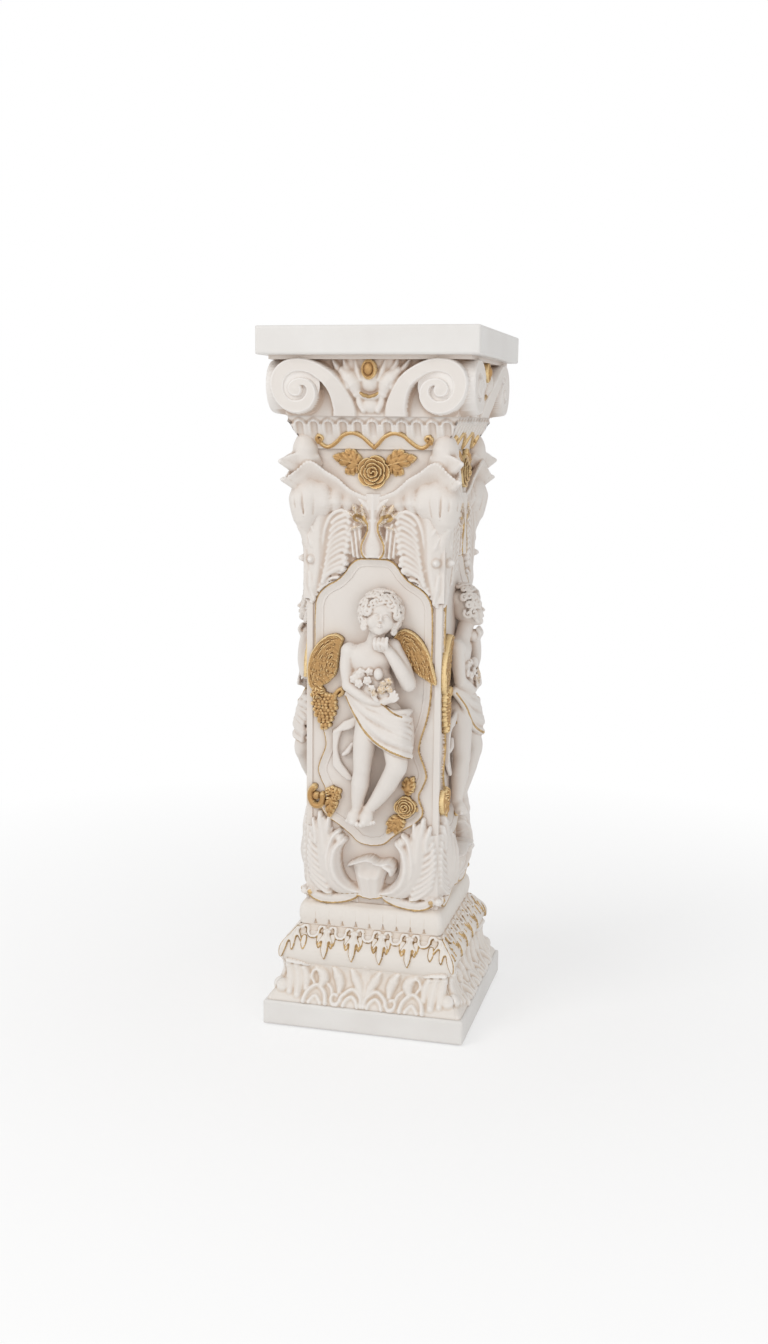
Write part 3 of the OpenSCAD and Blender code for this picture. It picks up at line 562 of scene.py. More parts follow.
def cavities(obj, near=3, far=12, strength=1.0):
    """Marks recesses and ridges of a closed carving from how a softened copy would lie"""
    mesh = obj.data
    count = len(mesh.vertices)
    co = np.empty(count * 3, np.float32)
    mesh.vertices.foreach_get("co", co)
    co = co.reshape(-1, 3).astype(float) / MM
    ends = np.empty(len(mesh.edges) * 2, np.int32)
    mesh.edges.foreach_get("vertices", ends)
    a, b = ends.reshape(-1, 2).T
    links = np.bincount(a, minlength=count) + np.bincount(b, minlength=count)
    links = np.maximum(links, 1)[:, None]
    normals = np.empty(count * 3, np.float32)
    mesh.vertices.foreach_get("normal", normals)
    normals = normals.reshape(-1, 3)
    soft, kept = co.copy(), {}
    for k in range(far):
        total = np.zeros_like(soft)
        for axis in range(3):
            total[:, axis] = (np.bincount(a, soft[b, axis], count)
                              + np.bincount(b, soft[a, axis], count))
        soft = 0.4 * soft + 0.6 * total / links
        if k + 1 in (near, far):
            kept[k + 1] = ((soft - co) * normals).sum(1)
    # Recess mark for the brown wash and painted shade in hollows, ridge mark for painted highlight
    # on ridges
    recess = kept[near] * 2.2 + kept[far] * 0.8
    store(mesh, "wash", np.clip(recess * strength, 0, 1))
    store(mesh, "edge", np.clip(-kept[near] * 3.0, 0, 1))
    if not mesh.attributes.get("gilt"):
        store(mesh, "gilt", np.zeros(count))


def gild(obj, path, r, where=None):
    """Gold paint along a line in space, across, up and out on the front panel"""
    mesh = obj.data
    count = len(mesh.vertices)
    co = np.empty(count * 3, np.float32)
    mesh.vertices.foreach_get("co", co)
    co = co.reshape(-1, 3) / MM
    values = np.empty(count, np.float32)
    mesh.attributes["gilt"].data.foreach_get("value", values)
    best = np.full(count, 1e9)
    line = np.asarray(path, float)
    place = np.stack([co[:, 0], co[:, 2], -co[:, 1] - PANEL], 1)
    cols = line.shape[1]
    for p, q in zip(line[:-1], line[1:]):
        leg = q - p
        s = np.clip(((place[:, :cols] - p) @ leg) / max(leg @ leg, 1e-9), 0, 1)
        best = np.minimum(best, np.linalg.norm(place[:, :cols] - p - s[:, None] * leg, axis=1))
    fresh = np.clip((r - best) / (0.4 * r), 0, 1)
    if where is not None:
        fresh = fresh * where(place)
    store(mesh, "gilt", np.maximum(values, fresh))


def dress(obj, material, slot, *nodes):
    """Gives a finished piece its material, fixes it to the root body and hides the nodes that it
    stands for; the slot is not used
    """
    obj.data.materials.clear()
    obj.data.materials.append(material)
    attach(obj, "root")
    if nodes:
        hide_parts(*nodes)
    return obj


def four(obj, base, names, material, slot, nodes=None):
    """Sets the same carving on all four faces, each with a mesh of its own"""
    obj.name = f"{base}_{names[0]}"
    for k in range(4):
        piece = obj
        if k:
            piece = obj.copy()
            piece.data = obj.data.copy()
            piece.data.transform(Matrix.Rotation(math.pi / 2 * k, 4, "Z"))
            piece.name = f"{base}_{names[k]}"
            bpy.context.scene.collection.objects.link(piece)
        replaced = [f"{node}_{names[k]}" for node in nodes] if nodes else []
        dress(piece, material, slot, *replaced)


def moulding(name, profile, corner, steps=40, carve=None, material=None, slot="resin_antique",
             nodes=()):
    """A solid moulding lofted round a square with rounded corners, carved across each face"""
    line = bend(profile, 5)
    rises = np.gradient(line, axis=0)
    rises /= np.hypot(rises[:, 0], rises[:, 1])[:, None]
    arc_steps = 8
    rings = []
    for (d, z), (rd, rz) in zip(line, rises):
        r = min(corner, d)
        flat = np.linspace(-1, 1, steps, endpoint=True) * (d - r)
        ring = []
        for k in range(4):
            depth = (carve(flat, np.full(flat.shape, z)) if carve is not None
                     else np.zeros(flat.shape))
            x, y, zz = flat, -(d + rz * depth), z - rd * depth
            angles = np.linspace(-math.pi / 2, 0, arc_steps + 2)[1:-1]
            ax = (d - r) + r * np.cos(angles)
            ay = -(d - r) + r * np.sin(angles)
            pts = np.concatenate([np.stack([x, y, zz], 1),
                                  np.stack([ax, ay, np.full(ax.shape, z)], 1)])
            c, s = [(1, 0), (0, 1), (-1, 0), (0, -1)][k]
            ring.append(np.stack([pts[:, 0] * c - pts[:, 1] * s, pts[:, 0] * s + pts[:, 1] * c,
                                  pts[:, 2]], 1))
        rings.append(np.concatenate(ring))
    return loft(name, rings, material, slot, nodes)


def holder(name, mesh):
    """An object for a mesh whose points are worked out here, selected alone"""
    bpy.ops.object.select_all(action="DESELECT")
    obj = bpy.data.objects.new(name, mesh)
    bpy.context.scene.collection.objects.link(obj)
    obj.select_set(True)
    bpy.context.view_layer.objects.active = obj
    return obj


def loft(name, rings, material=None, slot=None, nodes=(), closed=True, caps=True):
    """A skin over rings of points, given in millimetres"""
    count, m = len(rings[0]), len(rings)
    obj = holder(name, bpy.data.meshes.new(name))
    bm = bmesh.new()
    verts = [[bm.verts.new(Vector(p) * MM) for p in ring] for ring in rings]
    for i in range(m - 1):
        for j in range(count if closed else count - 1):
            bm.faces.new((verts[i][j], verts[i][(j + 1) % count], verts[i + 1][(j + 1) % count],
                          verts[i + 1][j]))
    if caps and closed:
        bm.faces.new(list(reversed(verts[0])))
        bm.faces.new(verts[-1])
    bmesh.ops.remove_doubles(bm, verts=bm.verts, dist=1e-6)
    bmesh.ops.recalc_face_normals(bm, faces=bm.faces)
    bm.to_mesh(obj.data)
    bm.free()
    bpy.ops.object.shade_smooth_by_angle(angle=math.radians(40))
    if material is not None:
        cavities(obj)
        dress(obj, material, slot, *nodes)
    return obj


# Floor, backdrop and soft light
FLOOR_RADIUS, FLOOR_WHITE = 14, 0.975
FADE_FROM, FADE_TO = 0.3, 1.15
WORLD = 0.65


def floor():
    p = Paint("floor", rough=0.9)
    ray = p.node("ShaderNodeLightPath", output=0)
    glossy = p.node("ShaderNodeLightPath", output=3)
    passing = p.node("ShaderNodeLightPath", output=6)
    seen = (ray + glossy + passing).clip()
    spot = p.node("ShaderNodeVectorMath", {"operation": "LENGTH"}, output=1, i0=p.place())
    far = seen * (spot.step(FADE_FROM, FADE_TO) * 0.48 + 0.52)
    white = p.node("ShaderNodeEmission", Color=(1, 1, 1, 1), Strength=1.0)
    mixed = p.node("ShaderNodeMixShader", i0=far, i1=Val(p.tree, p.shader.outputs[0]), i2=white)
    p.tree.links.new(mixed.socket, p.tree.nodes["Material Output"].inputs[0])
    p.set(Base_Color=(FLOOR_WHITE, FLOOR_WHITE, FLOOR_WHITE, 1))
    bpy.ops.object.select_all(action="DESELECT")
    bpy.ops.mesh.primitive_circle_add(vertices=96, radius=FLOOR_RADIUS, fill_type="NGON",
                                      location=(0, 0, 0))
    obj = bpy.context.object
    obj.name = "floor"
    obj.data.materials.append(p.material)


def world():
    sky = bpy.data.worlds.new("studio")
    bpy.context.scene.world = sky
    sky.use_nodes = True
    tree = sky.node_tree
    back = tree.nodes["Background"]
    path = tree.nodes.new("ShaderNodeLightPath")
    most = tree.nodes.new("ShaderNodeMath")
    most.operation = "MAXIMUM"
    tree.links.new(path.outputs["Is Camera Ray"], most.inputs[0])
    tree.links.new(path.outputs["Is Glossy Ray"], most.inputs[1])
    both = tree.nodes.new("ShaderNodeMath")
    both.operation = "MAXIMUM"
    tree.links.new(most.outputs[0], both.inputs[0])
    tree.links.new(path.outputs["Is Transmission Ray"], both.inputs[1])
    strength = tree.nodes.new("ShaderNodeMapRange")
    tree.links.new(both.outputs[0], strength.inputs["Value"])
    strength.inputs["To Min"].default_value = WORLD
    strength.inputs["To Max"].default_value = 1.0
    tree.links.new(strength.outputs[0], back.inputs["Strength"])
    back.inputs["Color"].default_value = (1, 1, 1, 1)


def lamp(name, place, target, size, power, tint=(1, 1, 1)):
    light = bpy.data.lights.new(name, "AREA")
    light.shape = "RECTANGLE"
    light.size, light.size_y = size
    light.energy = power
    light.color = tint
    obj = bpy.data.objects.new(name, light)
    obj.location = place
    obj.rotation_mode = "QUATERNION"
    obj.rotation_quaternion = (Vector(target) - Vector(place)).to_track_quat("-Z", "Y")
    bpy.context.scene.collection.objects.link(obj)


floor()
world()
lamp("key", place=(-1.5, -1.9, 2.3), target=(0, 0, 0.45), size=(1.3, 1.3), power=24.5,
     tint=(1.0, 0.985, 0.97))
lamp("fill", place=(1.6, -2.4, 0.9), target=(0, 0, 0.4), size=(1.6, 2.0), power=13,
     tint=(1.0, 0.99, 0.98))

for node, obj in frame["nodes"].items():
    kind = RESIN
    if node in ("top_slab", "plinth_slab"):
        kind = SLAB
    elif node.startswith("tie_"):
        kind = STEEL
    elif node == "slab_dowels":
        kind = BEECH
    elif node == "felt_pads":
        kind = FELT
    elif node.startswith(("wings", "gilt", "rose", "swag", "gems")):
        kind = GOLD
    obj.data.materials.clear()
    obj.data.materials.append(kind)


# Base: plain mouldings
BASE_PROFILE = [(116, 30), (115.6, 33), (111, 38.5), (105.5, 44.5), (101, 51), (98, 58),
                (96.8, 65), (97.6, 70.5), (100.5, 75.2), (102.4, 80.5), (103, 86), (102.2, 91.5),
                (99.6, 96.5), (95.6, 101.5), (91, 107), (87, 111.6), (84.2, 116.08)]
moulding("base_casting_cast", BASE_PROFILE, 4, 36, None, BASE_RESIN, "resin_antique",
         ("base_casting",))


def gadroon_carving(u, z):
    """Faint upright flutes and a row of small notches at the foot"""
    t = (z - GADROON_Z) / 30
    pitch = 16.4
    phase = np.abs(((u / pitch) % 1) - 0.5) * 2
    swell = 0.55 * np.clip(1 - np.abs(t - 0.45) * 1.9, 0, 1)
    flute = -swell * np.clip((phase - 0.86) / 0.14, 0, 1) * 0.9
    width = 3.2 * np.clip((0.28 - t) / 0.22, 0, 1)
    notch = (-2.2 * np.clip(1 - (1 - phase) * pitch / 2 / np.maximum(width, 0.05), 0, 1) ** 0.8
             * (t < 0.3) * (t > 0.06))
    flute = (flute + 0.09 * np.sin(u * 1.9 + 3 * np.sin(u * 0.37))
             * np.clip(1 - np.abs(t - 0.5) * 2.2, 0, 1))
    return np.where(np.abs(u) < 81, flute + notch, 0)


GADROON_PROFILE = [(84.4, 115.6), (85.6, 117.2), (85.9, 119.2), (86.3, 122), (86.9, 126),
                   (87.0, 130), (86.6, 134), (85.6, 138), (83.6, 141.6), (81.2, 144),
                   (79.4, 146.08)]
moulding("gadroon_cast", GADROON_PROFILE, 7, 200, gadroon_carving, BASE_RESIN, "resin_antique",
         ("gadroon_torus",))


# Wavy frame on each panel
FRAME_HALF = [(0, 216.5), (15, 219.5), (26, 229), (38, 238), (52, 247), (60, 256), (61.5, 264),
              (57, 276), (57, 283), (61, 291), (65, 303), (63, 314), (57.5, 328), (56, 336),
              (58, 348), (63, 364), (67, 382), (69, 401), (69.3, 430), (69.3, 486), (67.5, 503),
              (62, 513), (54, 520), (42, 527), (34, 535), (28.5, 543), (22, 549), (14, 551.6),
              (0, 552)]
BEAD_HIGH, COVE_HIGH, LINE_HIGH = 4.6, 3.4, 1.1


def frame_outline():
    half = bend(FRAME_HALF, 6)
    return np.concatenate([half, np.stack([-half[::-1, 0], half[::-1, 1]], 1)[1:]])


def build_frame():
    r = Relief(-74, 74, 212, 556, 0.92)
    line = frame_outline()
    part, gap, _, side = r.near(line, 200)
    inside = side > 0
    depth = np.where(inside, gap, -gap)
    bead = BEAD_HIGH * np.sqrt(np.clip(1 - ((depth - 1.1) / 1.5) ** 2, 0, 1))
    cove = COVE_HIGH * (1 - np.clip((depth - 2.0) / 7.0, 0, 1)) ** 0.8
    second = LINE_HIGH * np.sqrt(np.clip(1 - ((depth - 9.2) / 1.3) ** 2, 0, 1))
    height = np.maximum(np.maximum(bead, np.where((depth > 1.2) & (depth < 9.2), cove, SUNK)),
                        second)
    r.h[part] = np.where((depth > -0.5) & (depth < 10.6) & (height > 0.02), height, SUNK)
    r.gilt[part] = np.clip(1.45 - np.abs(depth - 0.8) / 0.8, 0, 1)
    return r.piece("frame", flat_face(PANEL), 1)


four(build_frame(), "frame_relief", SIDES, RESIN, "resin_antique", ("frame",))


class Clay:
    """Modelling in the round: lumps and limbs that flow into one another and get one skin"""

    def __init__(self, low, high, step):
        self.step = step * 1.0
        self.axes = [np.arange(a, b + self.step, self.step) for a, b in zip(low, high)]
        self.d = np.full([len(a) for a in self.axes], 30.0, np.float32)

    def around(self, points, reach):
        p = np.atleast_2d(np.asarray(points, float))
        part = tuple(slice(int(np.searchsorted(a, lo)), int(np.searchsorted(a, hi)) + 1)
                     for a, lo, hi in zip(self.axes, p.min(0) - reach, p.max(0) + reach))
        x, y, z = (a[s] for a, s in zip(self.axes, part))
        return part, x[:, None, None], y[None, :, None], z[None, None, :]

    def melt(self, part, gap, k):
        here = self.d[part]
        mix = np.clip(0.5 + 0.5 * (here - gap) / k, 0, 1)
        self.d[part] = here + (gap - here) * mix - k * mix * (1 - mix)

    def cut(self, part, gap, k):
        here = -self.d[part]
        mix = np.clip(0.5 + 0.5 * (here - gap) / k, 0, 1)
        self.d[part] = -(here + (gap - here) * mix - k * mix * (1 - mix))

    def reach(self, points, radii):
        """How far each place near a line lies from a limb of these radii"""
        line = np.asarray(points, float)
        rad = np.interp(np.linspace(0, 1, len(line)), np.linspace(0, 1, len(radii)), radii)
        part, x, y, z = self.around(line, rad.max() + 3 + 2 * self.step)
        best = None
        for a, b, ra, rb in zip(line[:-1], line[1:], rad[:-1], rad[1:]):
            leg = b - a
            s = (((x - a[0]) * leg[0] + (y - a[1]) * leg[1] + (z - a[2]) * leg[2])
                 / max(leg @ leg, 1e-9))
            s = np.clip(s, 0, 1)
            gap = np.sqrt((x - a[0] - s * leg[0]) ** 2 + (y - a[1] - s * leg[1]) ** 2
                          + (z - a[2] - s * leg[2]) ** 2) - (ra + (rb - ra) * s)
            best = gap if best is None else np.minimum(best, gap)
        return part, best

    def limb(self, points, radii, k=2.0):
        part, gap = self.reach(points, radii)
        if gap.size:
            self.melt(part, gap, k)

    def sheet(self, rim, root, thin, thick, k, count=18):
        """A petal between a free rim and its root"""
        places = np.linspace(0, 1, count)
        ends = [np.stack([np.interp(places, np.linspace(0, 1, len(p)), p[:, n]) for n in range(3)],
                         1) for p in (np.asarray(rim, float), np.asarray(root, float))]
        for a, b in zip(*ends):
            self.limb([a, b], (thin, thick), k)

    def crease(self, points, radii, k=0.8):
        part, gap = self.reach(points, radii)
        if gap.size:
            self.cut(part, gap, k)

    def egg(self, centre, radii, tilt):
        c, r = np.asarray(centre, float), np.asarray(radii, float)
        part, x, y, z = self.around(c, r.max() + 3 + 2 * self.step)
        q = np.array(Euler([math.radians(v) for v in tilt]).to_matrix())
        dx, dy, dz = x - c[0], y - c[1], z - c[2]
        first, second = 0, 0
        for i in range(3):
            along = (q[0, i] * dx + q[1, i] * dy + q[2, i] * dz) / r[i]
            first = first + along ** 2
            second = second + (along / r[i]) ** 2
        first = np.sqrt(first)
        return part, first * (first - 1) / np.maximum(np.sqrt(second), 1e-6)

    def lump(self, centre, radii, k=2.0, tilt=(0, 0, 0)):
        part, gap = self.egg(centre, radii, tilt)
        if gap.size:
            self.melt(part, gap, k)

    def hollow(self, centre, radii, k=1.0, tilt=(0, 0, 0)):
        part, gap = self.egg(centre, radii, tilt)
        if gap.size:
            self.cut(part, gap, k)

    def below(self, level):
        """Cuts the back off flat at a level"""
        self.d = np.maximum(self.d, (level - self.axes[2])[None, None, :].astype(np.float32))

    def skin(self, name, surface, smooth=2):
        d = np.pad(self.d, 1, constant_values=5.0)
        low = [a[0] - self.step for a in self.axes]
        inside = d < 0
        corners = [(i, j, k) for i in (0, 1) for j in (0, 1) for k in (0, 1)]
        size = [n - 1 for n in d.shape]

        def shifted(field, offset):
            return field[tuple(slice(o, o + n) for o, n in zip(offset, size))]
        total = sum(shifted(inside, c).astype(np.int8) for c in corners)
        cells = np.argwhere((total > 0) & (total < 8))
        number = np.full(size, -1, np.int32)
        number[tuple(cells.T)] = np.arange(len(cells))
        value = {c: d[tuple((cells + c).T)].astype(float) for c in corners}
        place, hits = np.zeros((len(cells), 3)), np.zeros(len(cells))
        for c in corners:
            for axis in range(3):
                if c[axis]:
                    continue
                e = tuple(v + (n == axis) for n, v in enumerate(c))
                crossing = (value[c] < 0) != (value[e] < 0)
                t = value[c] / np.where(crossing, value[c] - value[e], 1)
                spot = np.tile(np.array(c, float), (len(cells), 1))
                spot[:, axis] += t
                place += np.where(crossing[:, None], spot, 0)
                hits += crossing
        place = (cells + place / np.maximum(hits, 1)[:, None]) * self.step + low
        faces = []
        for axis in range(3):
            b, c = (axis + 1) % 3, (axis + 2) % 3
            first = inside[tuple(slice(1, -1) if n != axis else slice(0, -1) for n in range(3))]
            second = inside[tuple(slice(1, -1) if n != axis else slice(1, None) for n in range(3))]
            for flag, turned in ((first & ~second, False), (~first & second, True)):
                at = np.argwhere(flag)
                at[:, b] += 1
                at[:, c] += 1
                quad = []
                for ob, oc in ((-1, -1), (0, -1), (0, 0), (-1, 0)):
                    near = at.copy()
                    near[:, b] += ob
                    near[:, c] += oc
                    quad.append(number[tuple(near.T)])
                quad = np.stack(quad, 1)
                faces.append(quad[:, ::-1] if turned else quad)
        faces = np.concatenate(faces)
        place = surface(place[:, 0], place[:, 1], place[:, 2]) * MM
        mesh = bpy.data.meshes.new(name)
        mesh.from_pydata(place.tolist(), [], faces.tolist())
        mesh.update()
        obj = holder(name, mesh)
        if smooth:
            ease = obj.modifiers.new("ease", "SMOOTH")
            ease.factor = 0.5
            ease.iterations = smooth
            bpy.ops.object.modifier_apply(modifier="ease")
        bm = bmesh.new()
        bm.from_mesh(obj.data)
        bmesh.ops.recalc_face_normals(bm, faces=bm.faces)
        bm.to_mesh(obj.data)
        bm.free()
        bpy.ops.object.shade_smooth()
        return obj


def join(first, *others):
    """Makes several meshes one piece"""
    bpy.ops.object.select_all(action="DESELECT")
    for obj in (first, *others):
        obj.select_set(True)
    bpy.context.view_layer.objects.active = first
    bpy.ops.object.join()
    return first


def seen(x, z, h):
    """A place on the figure that lines up with this one on the panel, at a height above it"""
    return (x + 0.23 * (h - 8.5), z + (702 - z) / 1560 * (h - 8.5), h)


def line(*points):
    return bend([seen(*p) for p in points], 5)


# Winged child on each panel
def build_figure():
    c = Clay((-46, 236, -1.5), (58, 476, 33), 1.2)
    s = seen
    c.lump(s(-2, 437, 7), (25, 21, 13), 3)
    c.lump(s(-12, 440, 11), (12, 10, 8), 5)
    c.lump(s(13, 441, 10), (12, 10, 8), 5)
    c.lump(s(6, 409, 8), (21, 22, 13.5), 6)
    c.lump(s(4, 400, 10), (16, 15, 13), 5)
    c.lump(s(11, 373, 7), (27, 22, 13), 6)
    c.limb([s(1, 450, 8), s(7, 470, 13)], (9.5, 9), 4)
    # Arms
    c.lump(s(-26, 446, 9), (9.6, 10, 9.5), 4)
    c.limb(line((-27.5, 446, 9), (-29.5, 428, 11), (-27, 408, 13)), (8.2, 7.8, 6.8), 2.2)
    c.limb(line((-27, 406, 13.5), (-15, 398, 18.5), (-3, 391, 21), (9, 389, 22)),
           (7.2, 6.6, 5.4, 4.4), 2)
    c.lump(s(17, 391, 22), (7.5, 5, 4.5), 2, (0, 0, 20))
    for k, (x, z) in enumerate([(23, 404), (27.5, 402.5), (30.5, 399), (31.5, 395)]):
        c.limb(line((17 + k, 393 - k, 24), (23 + k * 1.6, 394.5 - k, 26.5), (x, z, 25.5)),
               (2.1, 2.0, 1.6), 0.8)
    c.limb(line((29, 444, 8), (37, 430, 9), (43, 414, 11)), (9.5, 9, 8.6), 3)
    c.lump(s(24, 453, 9), (10, 10, 9), 4)
    c.limb(line((43, 411, 12.5), (36, 424, 17), (27, 438, 20), (19, 449, 21.5)),
           (8.6, 8.4, 7, 5.4), 2.5)
    c.lump(s(11, 454, 21), (9.4, 7.6, 7), 2, (0, 0, -12))
    for k in range(4):
        x = 3.8 + k * 4.4
        c.limb(line((x + 1, 450 + k * 0.4, 26.5), (x, 456, 28.6),
                    (x + 0.8, 461.5 + k * 0.3, 25.5)), (2.1, 2.4, 2.1), 0.7)
    c.limb(line((19, 449, 25), (15, 455, 29), (9, 457, 29.4)), (2.4, 2.3, 1.9), 0.8)
    # Legs
    c.limb(line((-3, 366, 8), (-7, 342, 11), (-9.5, 318, 13)), (15, 13.5, 10.8), 4)
    c.lump(s(-9.5, 311, 14.5), (9.6, 9, 9), 3)
    c.limb(line((-10, 308, 13), (-12, 292, 12), (-14.5, 276, 11), (-15.5, 262, 10)),
           (9.6, 10.6, 8.2, 6), 3)
    c.limb(line((-15.5, 260, 9.5), (-18, 252, 14), (-20.5, 246.5, 19)), (6.2, 6.4, 4.6), 2.5)
    c.limb(line((24, 362, 7), (28, 340, 12), (31, 320, 18)), (16, 14, 12.4), 4)
    c.lump(s(31, 313, 20.5), (11.4, 10.5, 9.5), 3)
    c.limb(line((28, 309, 18), (20, 293, 15), (9, 276, 12.5), (-1, 263, 11)), (11.4, 11, 8.6, 6), 3)
    c.limb(line((-2, 261, 10.5), (-4.5, 252, 15), (-7, 246.5, 20)), (6.4, 6.6, 4.6), 2.5)
    c.lump(s(-20, 251.5, 14.5), (7.6, 8.5, 6.4), 3)
    c.lump(s(-4, 251.5, 15.5), (8, 8.5, 6.4), 3)
    for k in range(5):
        size = 3.1 - 0.2 * k
        c.lump(s(-15.4 - k * 3.0, 243.2 + k * 0.9, 20.4 - k * 0.8),
               (size * 0.85, size * 1.15, size), 0.5)
        c.lump(s(-10.4 + k * 3.8, 242.8 + k * 1.0, 21.4 - k * 0.8),
               (size * 0.95, size * 1.15, size), 0.5)
    # Drapery: folds swept from the arm to the hip, where they gather
    folds = 8
    top = np.array([s(-24, 400, 14), s(-14, 392, 20), (2, 386, 22.5), s(13, 381, 24),
                    s(25, 376, 24), s(37, 378, 20), s(44, 380, 11)])
    hem = np.array([s(-29.5, 395, 9), s(-19, 374, 19), s(-8, 357, 22.5), s(4, 344, 26.5),
                    s(19, 335, 30), s(34, 329.5, 31), s(46, 327.5, 19)])
    top, hem = bend(top, 6), bend(hem, 6)
    place = np.linspace(0, 1, len(top))
    for k in range(folds + 1):
        t = (k / folds) ** 0.9
        mid = top * (1 - t) + hem * t
        mid[:, 2] -= (3.4 - 1.0 * np.sin(place * math.pi * 2.2 + k * 1.7)
                      - 3.0 * math.sin(t * math.pi) * np.clip(place * 2 - 0.7, 0, 1))
        mid[:, 1] += (4.0 * np.sin(place * math.pi) * math.sin(t * math.pi)
                      - 3 * (place > 0.8) * (place - 0.8) * 5 * math.sin(t * math.pi))
        big = 3.4 + 0.9 * math.sin(k * 2.4)
        c.limb(mid, (big * 0.8, big, big * 1.2, big * 1.15, big * 0.9), 2.0)
    c.limb(hem - np.array([0, 0.5, 2.2]), (1.6, 2.1, 2.2, 2.1, 1.6), 1.0)
    for k in range(6):
        z = 378 - k * 9.2
        c.limb(line((30, z - 6, 21 - k * 0.4), (42, z - 2, 15), (47.5, z + 3, 7)), (1.6, 2.2, 1.6),
               1.2)
    c.lump(s(45, 352, 3), (6, 26, 9), 3)
    # Posy in the arm
    for x, z, h, r in [(-20, 414, 20, 5.4), (-12, 422, 19, 5.4), (-14, 409, 23, 5.4),
                       (-4, 413, 24, 5.6), (-2, 423, 20, 5), (1, 404, 26, 5), (20, 413, 22, 5.4),
                       (12, 403, 26, 5.4), (21, 405, 25, 4.6), (4, 397, 27, 4.4),
                       (14, 410, 25, 4.6)]:
        middle = np.array(s(x, z, h))
        c.lump(middle, (r * 0.8, r * 0.8, r * 0.55), 1)
        for n in range(5):
            a = n * 1.257 + x
            c.lump(middle + np.array([math.cos(a), math.sin(a), 0.25]) * r * 0.62,
                   (r * 0.42, r * 0.42, r * 0.3), 0.5)
        c.lump(middle + np.array([0, 0, r * 0.5]), (r * 0.28, r * 0.28, r * 0.28), 0.4)
    c.lump(s(8.5, 421, 22), (5.6, 7.2, 5.2), 0.8)
    c.lump(s(5.5, 392, 27), (4.4, 2.4, 1.9), 0.6, (0, 0, -35))
    c.lump(s(14, 398, 21), (10, 5, 4.5), 2)
    c.lump(s(-14, 416, 15), (9, 9, 6.5), 3)
    # Ribbon that loops out behind the leg
    for shift in (-4.2, -1.6, 1.2, 3.8):
        loop = [(-12 + shift * 0.4, 371 + shift * 0.6, 7), (-24 + shift * 0.2, 362 + shift, 6.5),
                (-36 + shift * 0.7, 357 + shift * 0.8, 5), (-43.5 + shift, 346, 4),
                (-45.5 + shift, 330, 3.5), (-41 + shift, 315, 3.5), (-33 + shift, 305, 3.5),
                (-25 + shift * 0.6, 297, 3.5)]
        c.limb(line(*loop), (2.2, 2.6, 2.4, 2.0), 1.1)
    c.limb(line((-22, 338, 4), (-27, 330, 4.5), (-33, 325, 3)), (2.6, 3.4, 2.2), 1.2)
    c.below(-1.4)
    body = c.skin("figure", flat_face(PANEL), 1)
    cavities(body, 3, 14, 1.0)
    gild(body, hem - np.array([0, 1.4, -0.4]), 1.7)
    gild(body, line((12, 387, 24), (18, 382.4, 24), (26, 377.8, 21), (32, 375.8, 19),
                    (38, 374.8, 16))[:, :2], 0.95)
    gild(body, line((-13, 368, 9), (-20, 355, 8), (-30, 349, 8), (-36, 340, 6), (-38, 326, 6),
                    (-33, 313, 6), (-27, 304, 6)), 1.5)
    gild(body, line((-21, 340, 7), (-20, 330, 7), (-25, 324, 7), (-32, 322, 5)), 1.2)
    for x, z, h, r in [(20, 413, 24, 6.5), (12, 403, 29, 7), (21, 405, 28, 6), (4, 399, 30, 5.5),
                       (14, 410, 28, 6), (-4, 402, 29, 4.5)]:
        gild(body, [s(x, z, h), s(x + 0.1, z, h)], r * 1.3, lambda place: 0.42)
    return body


HEAD = np.array(seen(10, 486, 14.5))
NOD = np.array(Euler((math.radians(-16), math.radians(16), math.radians(-5)), "YXZ").to_matrix())


def on_head(x, y, z):
    """A place on the head, which is turned, bowed and tilted"""
    return HEAD + NOD @ np.array([x, y, z], float)


